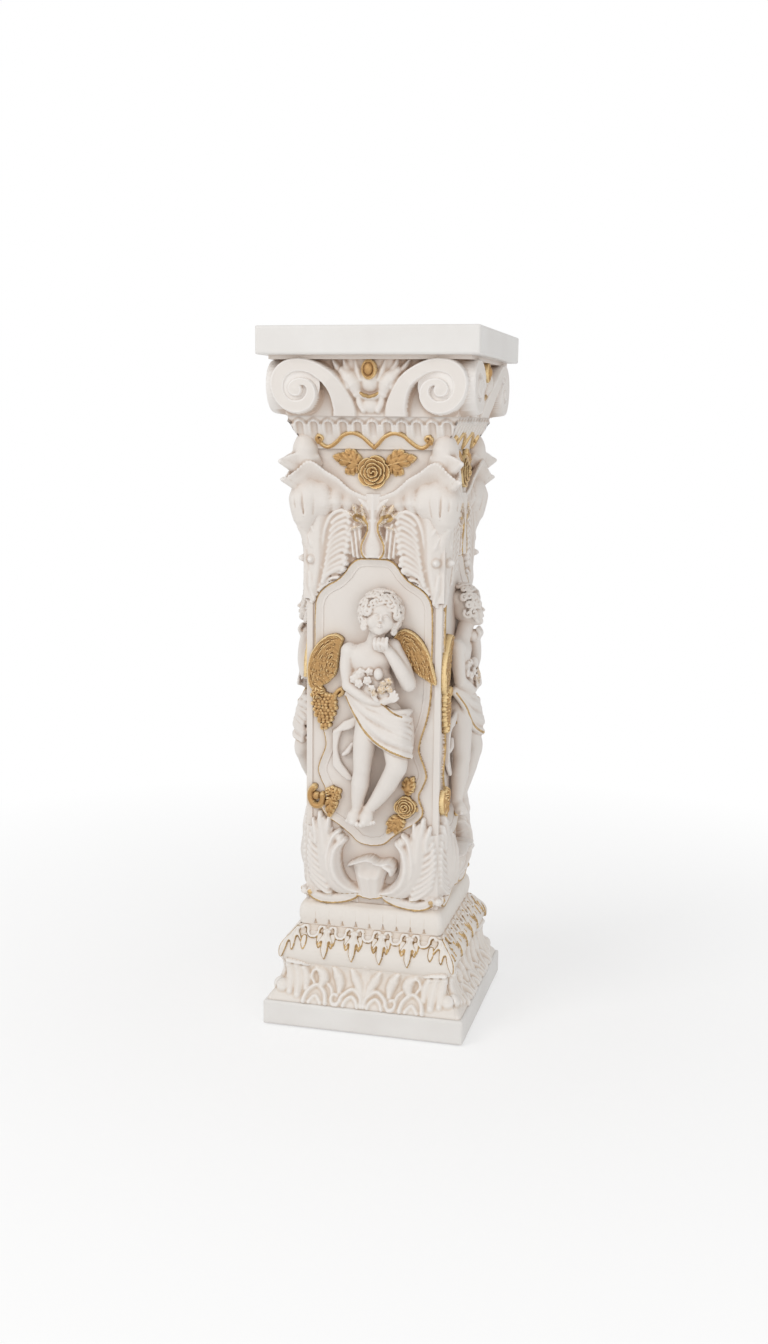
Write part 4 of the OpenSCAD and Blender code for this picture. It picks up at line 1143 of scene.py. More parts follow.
def build_head():
    c = Clay((-24, 456, -1.5), (46, 526, 35), 0.77)
    p = on_head
    turn = [math.degrees(v) for v in Matrix(NOD.tolist()).to_euler()]
    c.lump(p(0, 5, -3), (19, 20.4, 17), 2, turn)
    c.lump(p(0, -5, 2), (15, 15, 12.6), 4, turn)
    c.lump(p(-1, 15, -12), (16, 10, 9), 3, turn)
    for side in (-1, 1):
        c.lump(p(side * 7.6, -7.2, 9), (6.8, 6.4, 5.6), 3.5, turn)
    c.lump(p(0, -16.8, 9.2), (5, 4, 4.2), 3.5, turn)
    c.lump(p(0, 7, 9.5), (11.5, 8, 5), 4, turn)
    for side in (-1, 1):
        c.hollow(p(side * 6.2, -0.2, 17.2), (4.4, 2.9, 3.2), 1.6, turn)
        c.lump(p(side * 6.1, -0.6, 11.4), (3.5, 2.7, 3.1), 0.6, turn)
        lid = [p(side * 2.9, -0.8, 13.6), p(side * 4.4, 0.5, 14.6), p(side * 6.2, 0.8, 14.7),
               p(side * 8, 0.2, 13.9), p(side * 9.3, -1.2, 12.3)]
        c.limb(bend(lid, 3), (0.5, 0.8, 0.6), 0.5)
        low = [p(side * 3.1, -1.4, 13.4), p(side * 6.1, -2.5, 13.9), p(side * 9, -1.7, 12.4)]
        c.limb(bend(low, 3), (0.4, 0.6, 0.4), 0.6)
        brow = [p(side * 2.4, 3.0, 14.2), p(side * 5.8, 4.2, 14.4), p(side * 9.6, 3.2, 12)]
        c.limb(bend(brow, 3), (0.8, 1.1, 0.6), 1.6)
        c.lump(p(side * 2.0, -5.6, 14.9), (1.4, 1.2, 1.5), 0.8, turn)
    c.limb([p(0, 2.4, 13.8), p(0, -1.5, 15.2), p(0, -4.8, 16.9)], (1.2, 1.5, 1.9), 1.4)
    c.limb(bend([p(-3.5, -10.2, 13.3), p(-1.3, -9.5, 14.7), p(0, -9.9, 14.9), p(1.3, -9.5, 14.7),
                 p(3.5, -10.2, 13.3)], 3), (0.5, 1.05, 0.5), 0.7)
    c.limb(bend([p(-2.9, -11.2, 13.4), p(0, -12.0, 14.5), p(2.9, -11.2, 13.4)], 3),
           (0.5, 1.25, 0.5), 0.7)
    c.crease(bend([p(-3.9, -10.5, 14.2), p(0, -10.8, 15.9), p(3.9, -10.5, 14.2)], 3),
             (0.25, 0.4, 0.25), 0.4)
    for n in range(10):
        a = math.radians(-82 + n * 18.2)
        middle = p(16.4 * math.sin(a), 2.5 + 15.2 * math.cos(a), 8.6 + 2.4 * math.cos(a))
        c.lump(middle, (3.9, 3.9, 3.6), 1.2)
        lock = []
        for q in np.linspace(0, 1, 12):
            phi, reach = (n * 2.3 + (1 if n % 3 else -1) * q * 6.6,
                          (4.0 + (n % 4) * 0.35) * (1 - 0.72 * q))
            lock.append(middle + NOD @ np.array([
                reach * math.cos(phi), reach * math.sin(phi) - 0.6, 2.2 + 2.6 * q]))
        c.limb(lock, (1.7, 1.9, 1.5, 1.0), 0.45)
    # Thick curls, each a lock that winds in on itself
    rng = np.random.default_rng(11)
    spots = []
    for ring, (rise, count) in enumerate([(-26, 9), (-4, 11), (18, 11), (42, 9), (68, 6)]):
        for n in range(count):
            a = math.pi * (n + 0.5 * (ring % 2)) / (count - 1) if count > 1 else 0
            spots.append((a, math.radians(rise)))
    for a, rise in spots:
        x = -math.cos(a) * math.cos(rise) * 22.5
        z = math.sin(a) * math.cos(rise) * 18 - 4
        y = 6 + math.sin(rise) * 23.5
        face = abs(x) < 14.6 and z > 3 and y < 15.5 - abs(x) * 0.1
        if face:
            continue
        centre = p(x, y, z)
        out = NOD @ np.array([x / 20, (y - 5) / 22, (z + 4) / 17])
        out /= np.linalg.norm(out)
        side = np.cross(out, [0.0, 0.0, 1.0] if abs(out[2]) < 0.9 else [0.0, 1.0, 0.0])
        side /= np.linalg.norm(side)
        over = np.cross(out, side)
        spin = rng.uniform(0, 6.28)
        way = 1 if rng.random() < 0.5 else -1
        big = rng.uniform(4.4, 5.8)
        lock = []
        for q in np.linspace(0, 1, 14):
            r = big * (1 - 0.78 * q)
            phi = spin + way * q * 7.2
            lock.append(centre + side * r * math.cos(phi) + over * r * math.sin(phi)
                        + out * (1.0 + 2.6 * q))
        c.limb(lock, (2.2, 2.3, 1.8, 1.1), 0.6)
    for side, reach in ((-1, 1.0), (1, 1.0)):
        for n in range(3):
            lock = [p(side * (15.5 + n), 2 - n * 6, 2), p(side * (18 + n * 0.4), -3 - n * 5, 3.5),
                    p(side * 17.2, -8 - n * 4.2, 5), p(side * 15, -7 - n * 4, 6.4),
                    p(side * 16.4, -4.6 - n * 4, 6.4)]
            c.limb(bend(lock, 4), (1.8, 2.5, 2.2, 1.2), 0.6)
    c.below(-1.4)
    head = c.skin("head", flat_face(PANEL), 1)
    cavities(head, 3, 12, 0.9)
    return head


four(join(build_figure(), build_head()), "cherub_carving", SIDES, RESIN, "resin_antique",
     ("cherub",))


def around(obj, name, material, slot, *nodes):
    """The same carving on all four faces as one piece"""
    copies = []
    for k in range(1, 4):
        copy = obj.copy()
        copy.data = obj.data.copy()
        copy.data.transform(Matrix.Rotation(math.pi / 2 * k, 4, "Z"))
        bpy.context.scene.collection.objects.link(copy)
        copies.append(copy)
    join(obj, *copies).name = name
    return dress(obj, material, slot, *nodes)


# Capital: scrolls, leaf and lobes on each face
SCROLL = [(-28.5, 706, 14), (-29.5, 720, 12.6), (-36.5, 738, 10), (-46, 750, 8.9), (-60, 759, 8.2),
          (-72, 763, 8.1), (-80.5, 763.2, 8.3), (-90, 761, 8.9), (-97.4, 755.6, 9.5),
          (-101, 748, 9.8), (-101.4, 741, 9.7), (-99.5, 732.5, 9), (-95, 725.7, 8.6),
          (-88, 720.8, 8.4), (-79, 719, 8.3), (-70.5, 721.3, 8), (-65, 727.3, 7.4),
          (-63.2, 734.5, 6.5), (-65, 740.8, 5.5), (-70, 744.8, 5), (-76.8, 745.6, 4.8),
          (-82.8, 743.6, 4.7), (-86, 739.6, 4.6), (-85.6, 735.6, 4.5), (-82.4, 733.4, 4.6),
          (-78.8, 734.2, 5), (-77.6, 737.2, 5.2)]


def build_capital():
    r = Relief(-113, 113, 709, 771.6, 0.9)
    r.h[:] = np.where(np.abs(r.u) < 97.5, 0.8, SUNK)
    r.h += np.clip((32 - np.abs(r.u)) / 8, 0, 1) * np.clip((r.w - 728) / 12, 0, 1) * 5.5
    for flipped in (False, True):
        path = bend([(-x if flipped else x, z, wide) for x, z, wide in SCROLL], 6)
        run = np.concatenate([[0], np.cumsum(np.hypot(*np.diff(path[:, :2], axis=0).T))])
        part, gap, t, side = r.near(path, 15)
        wide = np.interp(t, run / run[-1], path[:, 2])
        rise = np.interp(t, [0, 0.08, 0.2, 0.6, 0.85, 1], [5, 11, 18.6, 19.4, 20, 20.8])
        v = gap / wide
        outer = side if flipped else -side
        lean = np.interp(t, [0, 0.12, 0.3], [2.4, 1.8, 0.2]) * v * outer
        flat = 0.9 * np.clip((v * outer - 0.5) / 0.35, 0, 1) * np.interp(t, [0.1, 0.25], [0, 1])
        top = rise - lean + flat - 4.6 * np.clip((v - 0.74) / 0.26, 0, 1) ** 1.8
        r.add(part, np.where(v < 1, top, SUNK))
    for side in (-1, 1):
        def along(*points):
            return bend([(side * x, z) for x, z in points], 6)
        r.dome(side * 79.2, 737.6, 4.6, 1.4, base=20.2)
        r.groove(along((91.5, 733.8), (86.8, 729.4), (79.4, 727.9), (72.4, 730.6), (69.8, 736)),
                 1.3, 2.6)
        r.blade(along((10, 748), (14, 758), (17, 769)), (4, 5.4, 2), (10, 9.5, 7), ribs=1,
                depth=0.5, base=0.8)
        r.blade(along((22, 753), (27, 761), (30, 769)), (4, 5.2, 2), (10, 9, 7), ribs=1, depth=0.5,
                base=0.8)
        r.blade(along((31, 754), (37, 760), (43, 769)), (3, 4, 1.6), (8, 7.5, 6), ribs=1,
                depth=0.4, base=0.8)
        r.blade(along((31, 757), (25, 751), (18, 742), (15, 734)), (6, 10.6, 11, 6.4),
                (11, 14, 14, 9.5), ribs=0, depth=0, base=0.8)
        r.groove(along((32, 748), (25, 743.5), (21, 736)), 2.2, 1.2)
        r.blade(along((13, 733), (12, 724), (8, 716)), (3.6, 4.6, 3.6), (7.4, 6.6, 5.6), ribs=0,
                depth=0, base=0.8)
    r.dome(0, 749, 13, 11, base=0.8, squash=1.25, angle=math.pi / 2)
    r.dome(0, 722, 9.4, 6.6, base=0.8, squash=1.1)
    r.roll(bend([(-14, 739), (-9, 731.5), (0, 729), (9, 731.5), (14, 739)], 6), 4, 4, 8.6, base=0.8)
    crescent = bend([(-10.5, 734.6), (-6, 731.6), (0, 730.2), (6, 731.6), (10.5, 734.6)], 6)
    r.roll(crescent, 1.9, 1.9, 2.4, gilt=1, base=9.6, taper=True)
    return r.piece("capital", flat_face(CORE), 2)


four(build_capital(), "scroll_carving", SIDES, RESIN, "resin_antique", ("volutes",))


def build_trumpets():
    """Concave bolsters that join the scrolls of neighbouring faces round each corner"""
    rings = []
    for phi in np.linspace(0.12, math.pi / 2 - 0.12, 25):
        waist = 27.4 - 6.2 * math.sin(phi * 2) ** 0.9
        ring = []
        for theta in np.linspace(0, 2 * math.pi, 48, endpoint=False):
            out = 38.6 - waist * math.cos(theta)
            level = 741 + waist * math.sin(theta) * (1.03 if math.sin(theta) > 0 else 0.9)
            x, y = 118.6 - out * math.cos(phi), 118.6 - out * math.sin(phi)
            ring.append((x, -y, min(level, 770.3)))
        rings.append(ring)
    return around(loft("trumpet", rings), "scroll_bolsters", RESIN, "resin_antique")


trumpets = build_trumpets()
cavities(trumpets)


def build_gem():
    r = Relief(-13, 13, 747, 771, 0.45)
    r.dome(0, 758.8, 8.6, 4.4, squash=1.28, angle=math.pi / 2, base=12.5)
    r.h = np.where(
        r.h > 12.5, r.h - 3.4 * np.clip(1 - np.hypot(r.u / 6.4, (r.w - 758.8) / 8.6) ** 4, 0, 1),
        r.h)
    r.dome(0, 759.4, 5.2, 4.8, squash=1.35, angle=math.pi / 2, base=13)
    return r.piece("gem", flat_face(CORE), 0)


around(build_gem(), "gem_carving", GOLD, "gold_paint", "gems")


# Fluted band with the gold rail
BAND_PROFILE = [(79.2, 674.08), (82, 680), (85, 687), (87.4, 693), (89.6, 699), (92.6, 703.4),
                (95.4, 706.4), (96.3, 710.5)]
BAND = moulded_face(BAND_PROFILE)
RAIL = [(-60.5, 684), (-57.2, 686.2), (-56, 682.6), (-60, 679.4), (-64.6, 681), (-65.2, 686),
        (-61.5, 680.0), (-56, 676.2), (-49.5, 677), (-41.5, 682.5), (-34, 689), (-23.5, 691.6),
        (-13, 687.6), (-6, 681), (0, 675.8)]


def rail_line():
    half = bend([(x, BAND.at_level(z)) for x, z in RAIL[4:]], 6)
    return np.concatenate([half, np.stack([-half[::-1, 0], half[::-1, 1]], 1)[1:]])


def build_band():
    r = Relief(-98, 98, 0, BAND.length, 0.94)
    u, v = r.u, r.w
    nearest = np.round(u / 16.8) * 16.8
    x = u - nearest
    top = BAND.at_level(701)
    gap = np.where(v > top, np.hypot(x, v - top), np.abs(x)) - 6.3
    strength = np.clip((v - 10) / 14, 0, 1)
    rim = 2.5 * np.clip(1 - (gap / 2.6) ** 2, 0, 1) ** 0.5 * strength
    channel = -1.4 * np.clip(1 - (x / 4.6) ** 2, 0, 1) * (gap < -1) * np.clip((v - 6) / 14, 0, 1)
    rest = 0.7 * np.clip(1 - (x / 4) ** 2, 0, 1) * (v < 16)
    r.h = 1.4 + rim + channel + rest * 0.3
    r.h = np.where((gap > 0.4) & (v > top), 0.5, r.h)
    rail = rail_line()
    level = np.interp(u, rail[:, 0], rail[:, 1], left=-1, right=-1)
    r.h = np.where((v < level) & (np.abs(u) < 60), 2.2, r.h)
    r.roll([(-79, 0.8), (79, 0.8)], 1.5, 1.5, 1.8, base=1.0)
    return r.piece("band", BAND, 1)


around(build_band(), "fluting", RESIN, "resin_antique", "fluted_band")


def build_rail():
    r = Relief(-70, 70, 0, 24, 0.5)
    r.roll(rail_line(), 2.3, 2.3, 3.0, base=1.8)
    for side in (-1, 1):
        curl = bend([(side * x, BAND.at_level(z)) for x, z in [
            (-65.2, 686), (-63.4, 688.6), (-60.4, 688.2), (-58.6, 685.4), (-60.4, 683.2)]], 6)
        r.roll(bend([(side * -64.6, BAND.at_level(681)), (side * -66, BAND.at_level(684.5)),
                     tuple(curl[0])], 4), 2.0, 2.0, 2.6, base=2.0)
        r.roll(curl, 2.0, 1.4, 3.0, base=2.2)
        r.dome(side * -60.6, BAND.at_level(684.6), 2.3, 2.4, base=2.6)
    return r.piece("rail", BAND, 0)


around(build_rail(), "rail_carving", GOLD, "gold_paint", "swag_rails")


# Neck: smooth bowl with a gold spray of roses
def build_neck():
    r = Relief(-80, 80, 611, 674.3, 1.1)
    depth = np.clip((674 - r.w) / 52, 0, 1)
    r.h = 2.0 + 6.0 * depth ** 1.3 - 3.0 * (np.abs(r.u) / 80) ** 2 * depth
    r.h = np.where(np.abs(r.u) > 79, 0.2, r.h)
    edge = bend([(0, 619), (12, 620), (28, 626), (38, 635), (50, 645), (60, 654), (68, 664),
                 (76, 674)], 6)
    low = np.interp(np.abs(r.u), edge[:, 0], edge[:, 1])
    r.h = np.where((r.w < low - 2.4) & (np.abs(r.u) < 34), SUNK, r.h)
    # Painted shade under the band's lip; the bowl is also darker towards its lower edge and a
    # little all over
    r.stain_and_shade = (0.3 * np.clip(1 - (r.w - low) / 30, 0, 1) + 0.16 * np.clip((r.w - 664) / 10, 0, 1)
               + 0.1)
    return r.piece("neck", flat_face(NECK), 0)


around(build_neck(), "bowl_carving", RESIN, "resin_antique", "neck_bell")


def build_spray():
    r = Relief(-54, 54, 626, 674, 0.55)
    for side in (-1, 1):
        for tip, wide, high in (((48.5, 665), 8.4, 6.4), ((34, 672.5), 7.8, 6),
                                ((34, 646), 7.6, 5.8), ((25, 667), 5.4, 5)):
            r.leaf(bend([(side * 14, 655), (side * (15 + tip[0]) / 2, (655 + tip[1]) / 2 + 1),
                         (side * tip[0], tip[1])], 6), wide, high, 3, 0.5, 0.24, 0.4,
                   base=4.4, peak=0.58, start=0.5)
        r.roll(bend([(side * 12, 654), (side * 25, 658), (side * 38, 661)], 6), 1.8, 1.0, 6.5,
               base=4)
    r.rose(0, 648, 18.8, 10, petals=5, base=5)
    return r.piece("spray", flat_face(NECK), 0)


four(build_spray(), "rose_spray_carving", SIDES, GOLD, "gold_paint", ("rose_spray",))


def corner_place(x, z, d):
    """A place on a face beside its corner, told as across the diagonal, up, and out along it"""
    return ((d - abs(x)) / math.sqrt(2), z, (d + abs(x)) / math.sqrt(2))


def diagonal(s, w, o):
    """From the corner's own directions to the model's, at the front left"""
    k = 1 / math.sqrt(2)
    return np.stack([(s - o) * k, -(s + o) * k, w], 1)


def distance_to(places, path):
    """How far places in space lie from a line"""
    best = np.full(len(places), 1e9)
    for p, q in zip(path[:-1], path[1:]):
        leg = q - p
        s = np.clip(((places - p) @ leg) / max(leg @ leg, 1e-9), 0, 1)
        best = np.minimum(best, np.linalg.norm(places - p - s[:, None] * leg, axis=1))
    return best


def build_corner_leaf():
    c = Clay((-66, 556, 60), (66, 697, 149), 1.2)
    at = corner_place
    k = math.sqrt(2)

    def both(points, radii, blend):
        for turn in (1, -1):
            c.limb(bend([(turn * s, w, o) for s, w, o in points], 4), radii, blend)
    # Great swelling cup of the lower tier
    c.limb(bend([(0, 582, 78 * k), (0, 598, 81 * k), (0, 616, 82 * k), (0, 632, 80 * k)], 4),
           (7, 14, 17, 12), 3)
    both([at(-76, 590, 78), at(-74, 606, 82), at(-72, 620, 83), at(-72, 632, 82)],
         (7, 13, 14.5, 9), 5)
    both([at(-61, 600, 78), at(-58, 614, 82.5), at(-59, 629, 82)], (7, 12, 8.5), 6)
    both([at(-46, 603, 78), at(-43, 616, 82), at(-43, 627, 81.5)], (5, 9, 6.4), 3.5)
    both([at(-32, 603, 78), at(-29, 614, 81.5), at(-29, 622, 81)], (4.5, 8, 5.6), 3)
    # Petal that turns out to a thin wavy rim
    hollows = []

    def petal(rim, root, thin, thick, blend, count):
        for turn in (1, -1):
            edges = [bend([(turn * s, w, o) for s, w, o in line_of], 5) for line_of in (rim, root)]
            c.sheet(*edges, thin, thick, blend, count)
            hollows.append([diagonal(*edge.T) for edge in edges])
    petal([(0, 638.6, 101.5 * k), at(-93, 643, 98.5), at(-86, 648.5, 97), at(-79, 655, 95),
           at(-71, 658.5, 93.5), at(-63, 655, 92.5), at(-55, 648.8, 91.5),
           at(-47, 644, 90.5), at(-39.5, 639.5, 89.5), at(-32, 632.5, 88.5), at(-25, 627, 87.5),
           at(-17, 623.6, 86.5), at(-9, 620.8, 86), at(-1, 619.6, 86)],
          [(0, 628, 85 * k), at(-84, 632, 85), at(-74, 640, 83.5), at(-62, 640, 83),
           at(-50, 634, 82.5), at(-39, 627, 82), at(-27, 618, 81.5), at(-14, 613, 81),
           at(-2, 611, 80.5)],
          1.5, 4.4, 2.6, 30)
    # Upper tier: a leaf turned out like a wing
    petal([(0, 658.6, 103.4 * k), at(-97, 662.5, 99), at(-90, 666, 96), at(-82, 666.5, 93),
           at(-75, 663.5, 90), at(-69, 661.5, 87.5), at(-65, 665, 84)],
          [(0, 646, 85 * k), at(-86, 650, 85), at(-78, 652, 83), at(-70, 654, 81),
           at(-65, 657, 79.5)], 1.5, 4.6, 2.6, 18)
    both([at(-84, 640, 84), at(-78, 652, 84), at(-74, 660, 82)], (8, 7, 5), 5)
    # Ear shaped lobe above
    c.limb(bend([(0, 660, 79 * k), (0, 672, 80.4 * k), (0, 680, 80.4 * k)], 4), (13.5, 14.5, 11), 4)
    both([at(-75, 664, 80), at(-74, 673, 81.5), at(-77, 682, 82)], (5, 5.6, 4.2), 5)
    # Small leaves underneath
    c.limb(bend([(0, 560, 76 * k), (0, 575, 80 * k), (0, 585, 86.5 * k)], 4), (6, 5.4, 1.8), 3)
    both([at(-76, 556, 77), at(-77, 570, 80), at(-81, 582, 83.5)], (4, 5, 1.8), 2.5)
    # Soft folds over the cup
    for turn in (1, -1):
        for fold in ([at(-82, 640, 97), at(-80, 628, 98.5), at(-79, 612, 98), at(-78, 598, 93)],
                     [at(-70, 641, 95), at(-66, 630, 97.5), at(-66, 614, 97), at(-68, 600, 92)],
                     [at(-91, 637, 99), at(-90, 624, 99.5), at(-88, 608, 96)]):
            c.crease(bend([(turn * s, w, o) for s, w, o in fold], 4), (0.6, 1.5, 1.2, 0.5), 2.4)
    leaf = c.skin("corner", diagonal, 1)
    cavities(leaf, 3, 12, 1.1)
    mesh = leaf.data
    co, wash = (np.empty(len(mesh.vertices) * 3, np.float32),
                np.empty(len(mesh.vertices), np.float32))
    mesh.vertices.foreach_get("co", co)
    co = co.reshape(-1, 3) / MM
    mesh.attributes["wash"].data.foreach_get("value", wash)
    # Painted shadow on the face of each petal below its rim and near its root, where the rim
    # overhangs; the whole leaf is also made a little darker
    for rim, root in hollows:
        shade = (np.clip((distance_to(co, rim) - 1.6) / 2.6, 0, 1)
                 * np.clip(1.25 - distance_to(co, root) / 13, 0, 1))
        wash = np.maximum(wash, 0.62 * shade)
    store(mesh, "wash", np.clip(wash + 0.1, 0, 1))
    return leaf


def build_corners():
    leaf = build_corner_leaf()
    for k, letter in enumerate(CORNERS):
        piece = leaf
        if k:
            piece = leaf.copy()
            piece.data = leaf.data.copy()
            piece.data.transform(Matrix.Rotation(math.pi / 2 * k, 4, "Z"))
            bpy.context.scene.collection.objects.link(piece)
        piece.name = f"corner_acanthus_{letter}"
        dress(piece, RESIN, "resin_antique", f"corner_leaves_{letter}")


build_corners()


# Foot leaves: two tall acanthus leaves and a ruffled lily
def build_foot():
    r = Relief(-84, 84, 142.8, 262, 0.85)
    u, w = r.u, r.w
    r.h[:] = np.where((np.abs(u) < 79.4) & (w < 172 + 0 * u) & (w > 146), 1.4, SUNK)
    niche = np.interp(np.abs(u), [46, 66, 77, 79.4], [5.5, 5.5, 2.0, 1.8])
    r.h = np.where((np.abs(u) > 46) & (np.abs(u) < 79.4) & (w > 158) & (w < 236), niche, r.h)
    for side in (-1, 1):
        def along(*points):
            return bend([(side * x, z) for x, z in points], 6)
        # Great outer blade, combed into fingers along its outer edge
        r.blade(along((8, 158), (26, 160), (42, 170), (52, 188), (55, 208), (57, 226), (60, 243)),
                (5, 8.5, 11, 11.5, 11, 10, 6.5), (6, 9, 12, 13, 12.5, 11, 8),
                ribs=2, depth=0.9, base=1.6, lean=0.12 * side)
        for n in range(10):
            z = 160 + n * 7.4
            x = 53 + 5 * math.sin(n / 9 * math.pi)
            r.roll(along((x - 3, z - 3), (x + 6, z + 2.0), (x + 14, z + 8),
                         (x + 19 - n * 0.3, z + 14)), 4.1, 2.4, 7.6, 3.0, base=3.6)
        for x0, z0, x1, z1, wide in ((53, 232, 51, 247, 4.4), (60, 236, 62, 253, 5),
                                     (66, 228, 70, 244, 4.4)):
            r.blade(along((x0, z0 - 10), (x0, z0), (x1, z1)), (wide, wide * 1.1, wide * 0.6),
                    (9, 9, 6.5), ribs=1, depth=0.4, base=1.4)
        # Smooth inner blades that cup the lily
        r.blade(along((12, 161), (28, 167), (39, 180), (43, 197), (40, 213), (31, 223)),
                (3.5, 6.5, 8, 8, 6.5, 3.5), (8, 13, 17, 18.5, 17, 11),
                ribs=2, depth=1.0, base=1.6, lean=-0.15 * side)
        r.blade(along((26, 163), (42, 174), (50, 190), (50, 208), (46, 224), (38, 233)),
                (3, 5.5, 7, 7, 6, 3), (7, 11, 15, 16, 13, 8), ribs=2, depth=0.9, base=1.6)
        r.dome(side * 37, 224, 6.4, 11, base=1.4)
        # Swag: a white band between a gold line and a brown one, hung from a boss
        band = along((6, 159.5), (15, 156.5), (27, 153.2), (40, 151), (54, 150.2), (66, 152.5),
                     (73, 157))
        r.blade(band, (2.4, 3.6, 4.6, 5.2, 5, 4), (4.4, 4.6, 4.6), ribs=0, depth=0, base=2.6)
        edge = along((0, 154.6), (11, 157), (20, 151.8), (31, 147.4), (45, 144.9), (58, 144.6),
                     (68, 147.5), (75, 152.5))
        r.roll(edge, 1.7, 1.7, 2.3, base=4.9)
        r.gild(edge, 1.35)
        brow = along((12, 160.5), (25, 158.8), (40, 157), (56, 155.8), (65, 157))
        r.groove(brow, 1.3, 1.6)
        r.gild(brow, 0.9, 0.62)
        r.dome(side * 73, 156, 5.2, 8.4, base=2)
        r.gild([(side * 73, 156), (side * 73, 156.3)], 4.6, 0.5)
        r.dome(side * 80, 155.5, 4.4, 5, base=3)
    # Lily with a fluted throat and a ruffled lip
    lip = bend([(-27, 189), (-24.5, 194.5), (-18, 198.5), (-10, 202), (-2, 204.6), (4, 204),
                (10, 200.6), (17, 201), (24, 202.6), (29.4, 199.6), (30.6, 194)], 6)
    behind, gilt = r.h.copy(), r.gilt.copy()
    r.blade(bend([(0, 156), (0, 168), (0, 182), (1, 196), (2, 207)], 6), (13, 15.5, 18, 22, 26),
            (8, 12, 17, 20.5, 21), ribs=3.5, depth=1.3, base=1.8, power=2.8)
    bite = np.clip(1 - np.hypot((u - 1) / 22, (w - 194) / 13) ** 2, 0, 1) ** 1.7
    r.h = np.where(r.h > behind, r.h - 6.5 * bite, r.h)
    level = np.interp(u, lip[:, 0], lip[:, 1], left=180, right=180)
    above = w > level + 1
    r.h, r.gilt = np.where(above, behind, r.h), np.where(above, gilt, r.gilt)
    r.roll(lip, 1.9, 2.3, 25.6, taper=True)
    r.blade(bend([(15, 200), (22, 198), (27, 194), (27, 188)], 6), (2.6, 5, 5.2, 3),
            (22, 24.5, 24, 20), ribs=0.5, depth=0.8, base=1)
    hook = bend([(-15, 157.2), (-8, 155), (0, 154.2), (8, 155), (15, 157.2)], 5)
    r.roll(hook, 1.7, 1.7, 2.6, base=7)
    r.gild(hook, 1.4)
    # Painted shade round the lily in its niche, on the low parts only
    r.stain_and_shade = np.clip(0.8 - np.hypot(u / 34, (w - 186) / 34), 0, 1) * (r.h < 9) * 1.1
    r.h = np.where((np.abs(u) < 15)
                   & (w < np.interp(np.abs(u), [0, 8, 15], [152.8, 153.6, 155.8])), SUNK, r.h)
    r.h = np.where(r.h > SUNK + 0.2, np.minimum(r.h, 26.4), r.h)
    return r.piece("foot", flat_face(PANEL), 3, 0.62)


four(build_foot(), "foot_carving", SIDES, RESIN, "resin_antique", ("foot_leaves",))


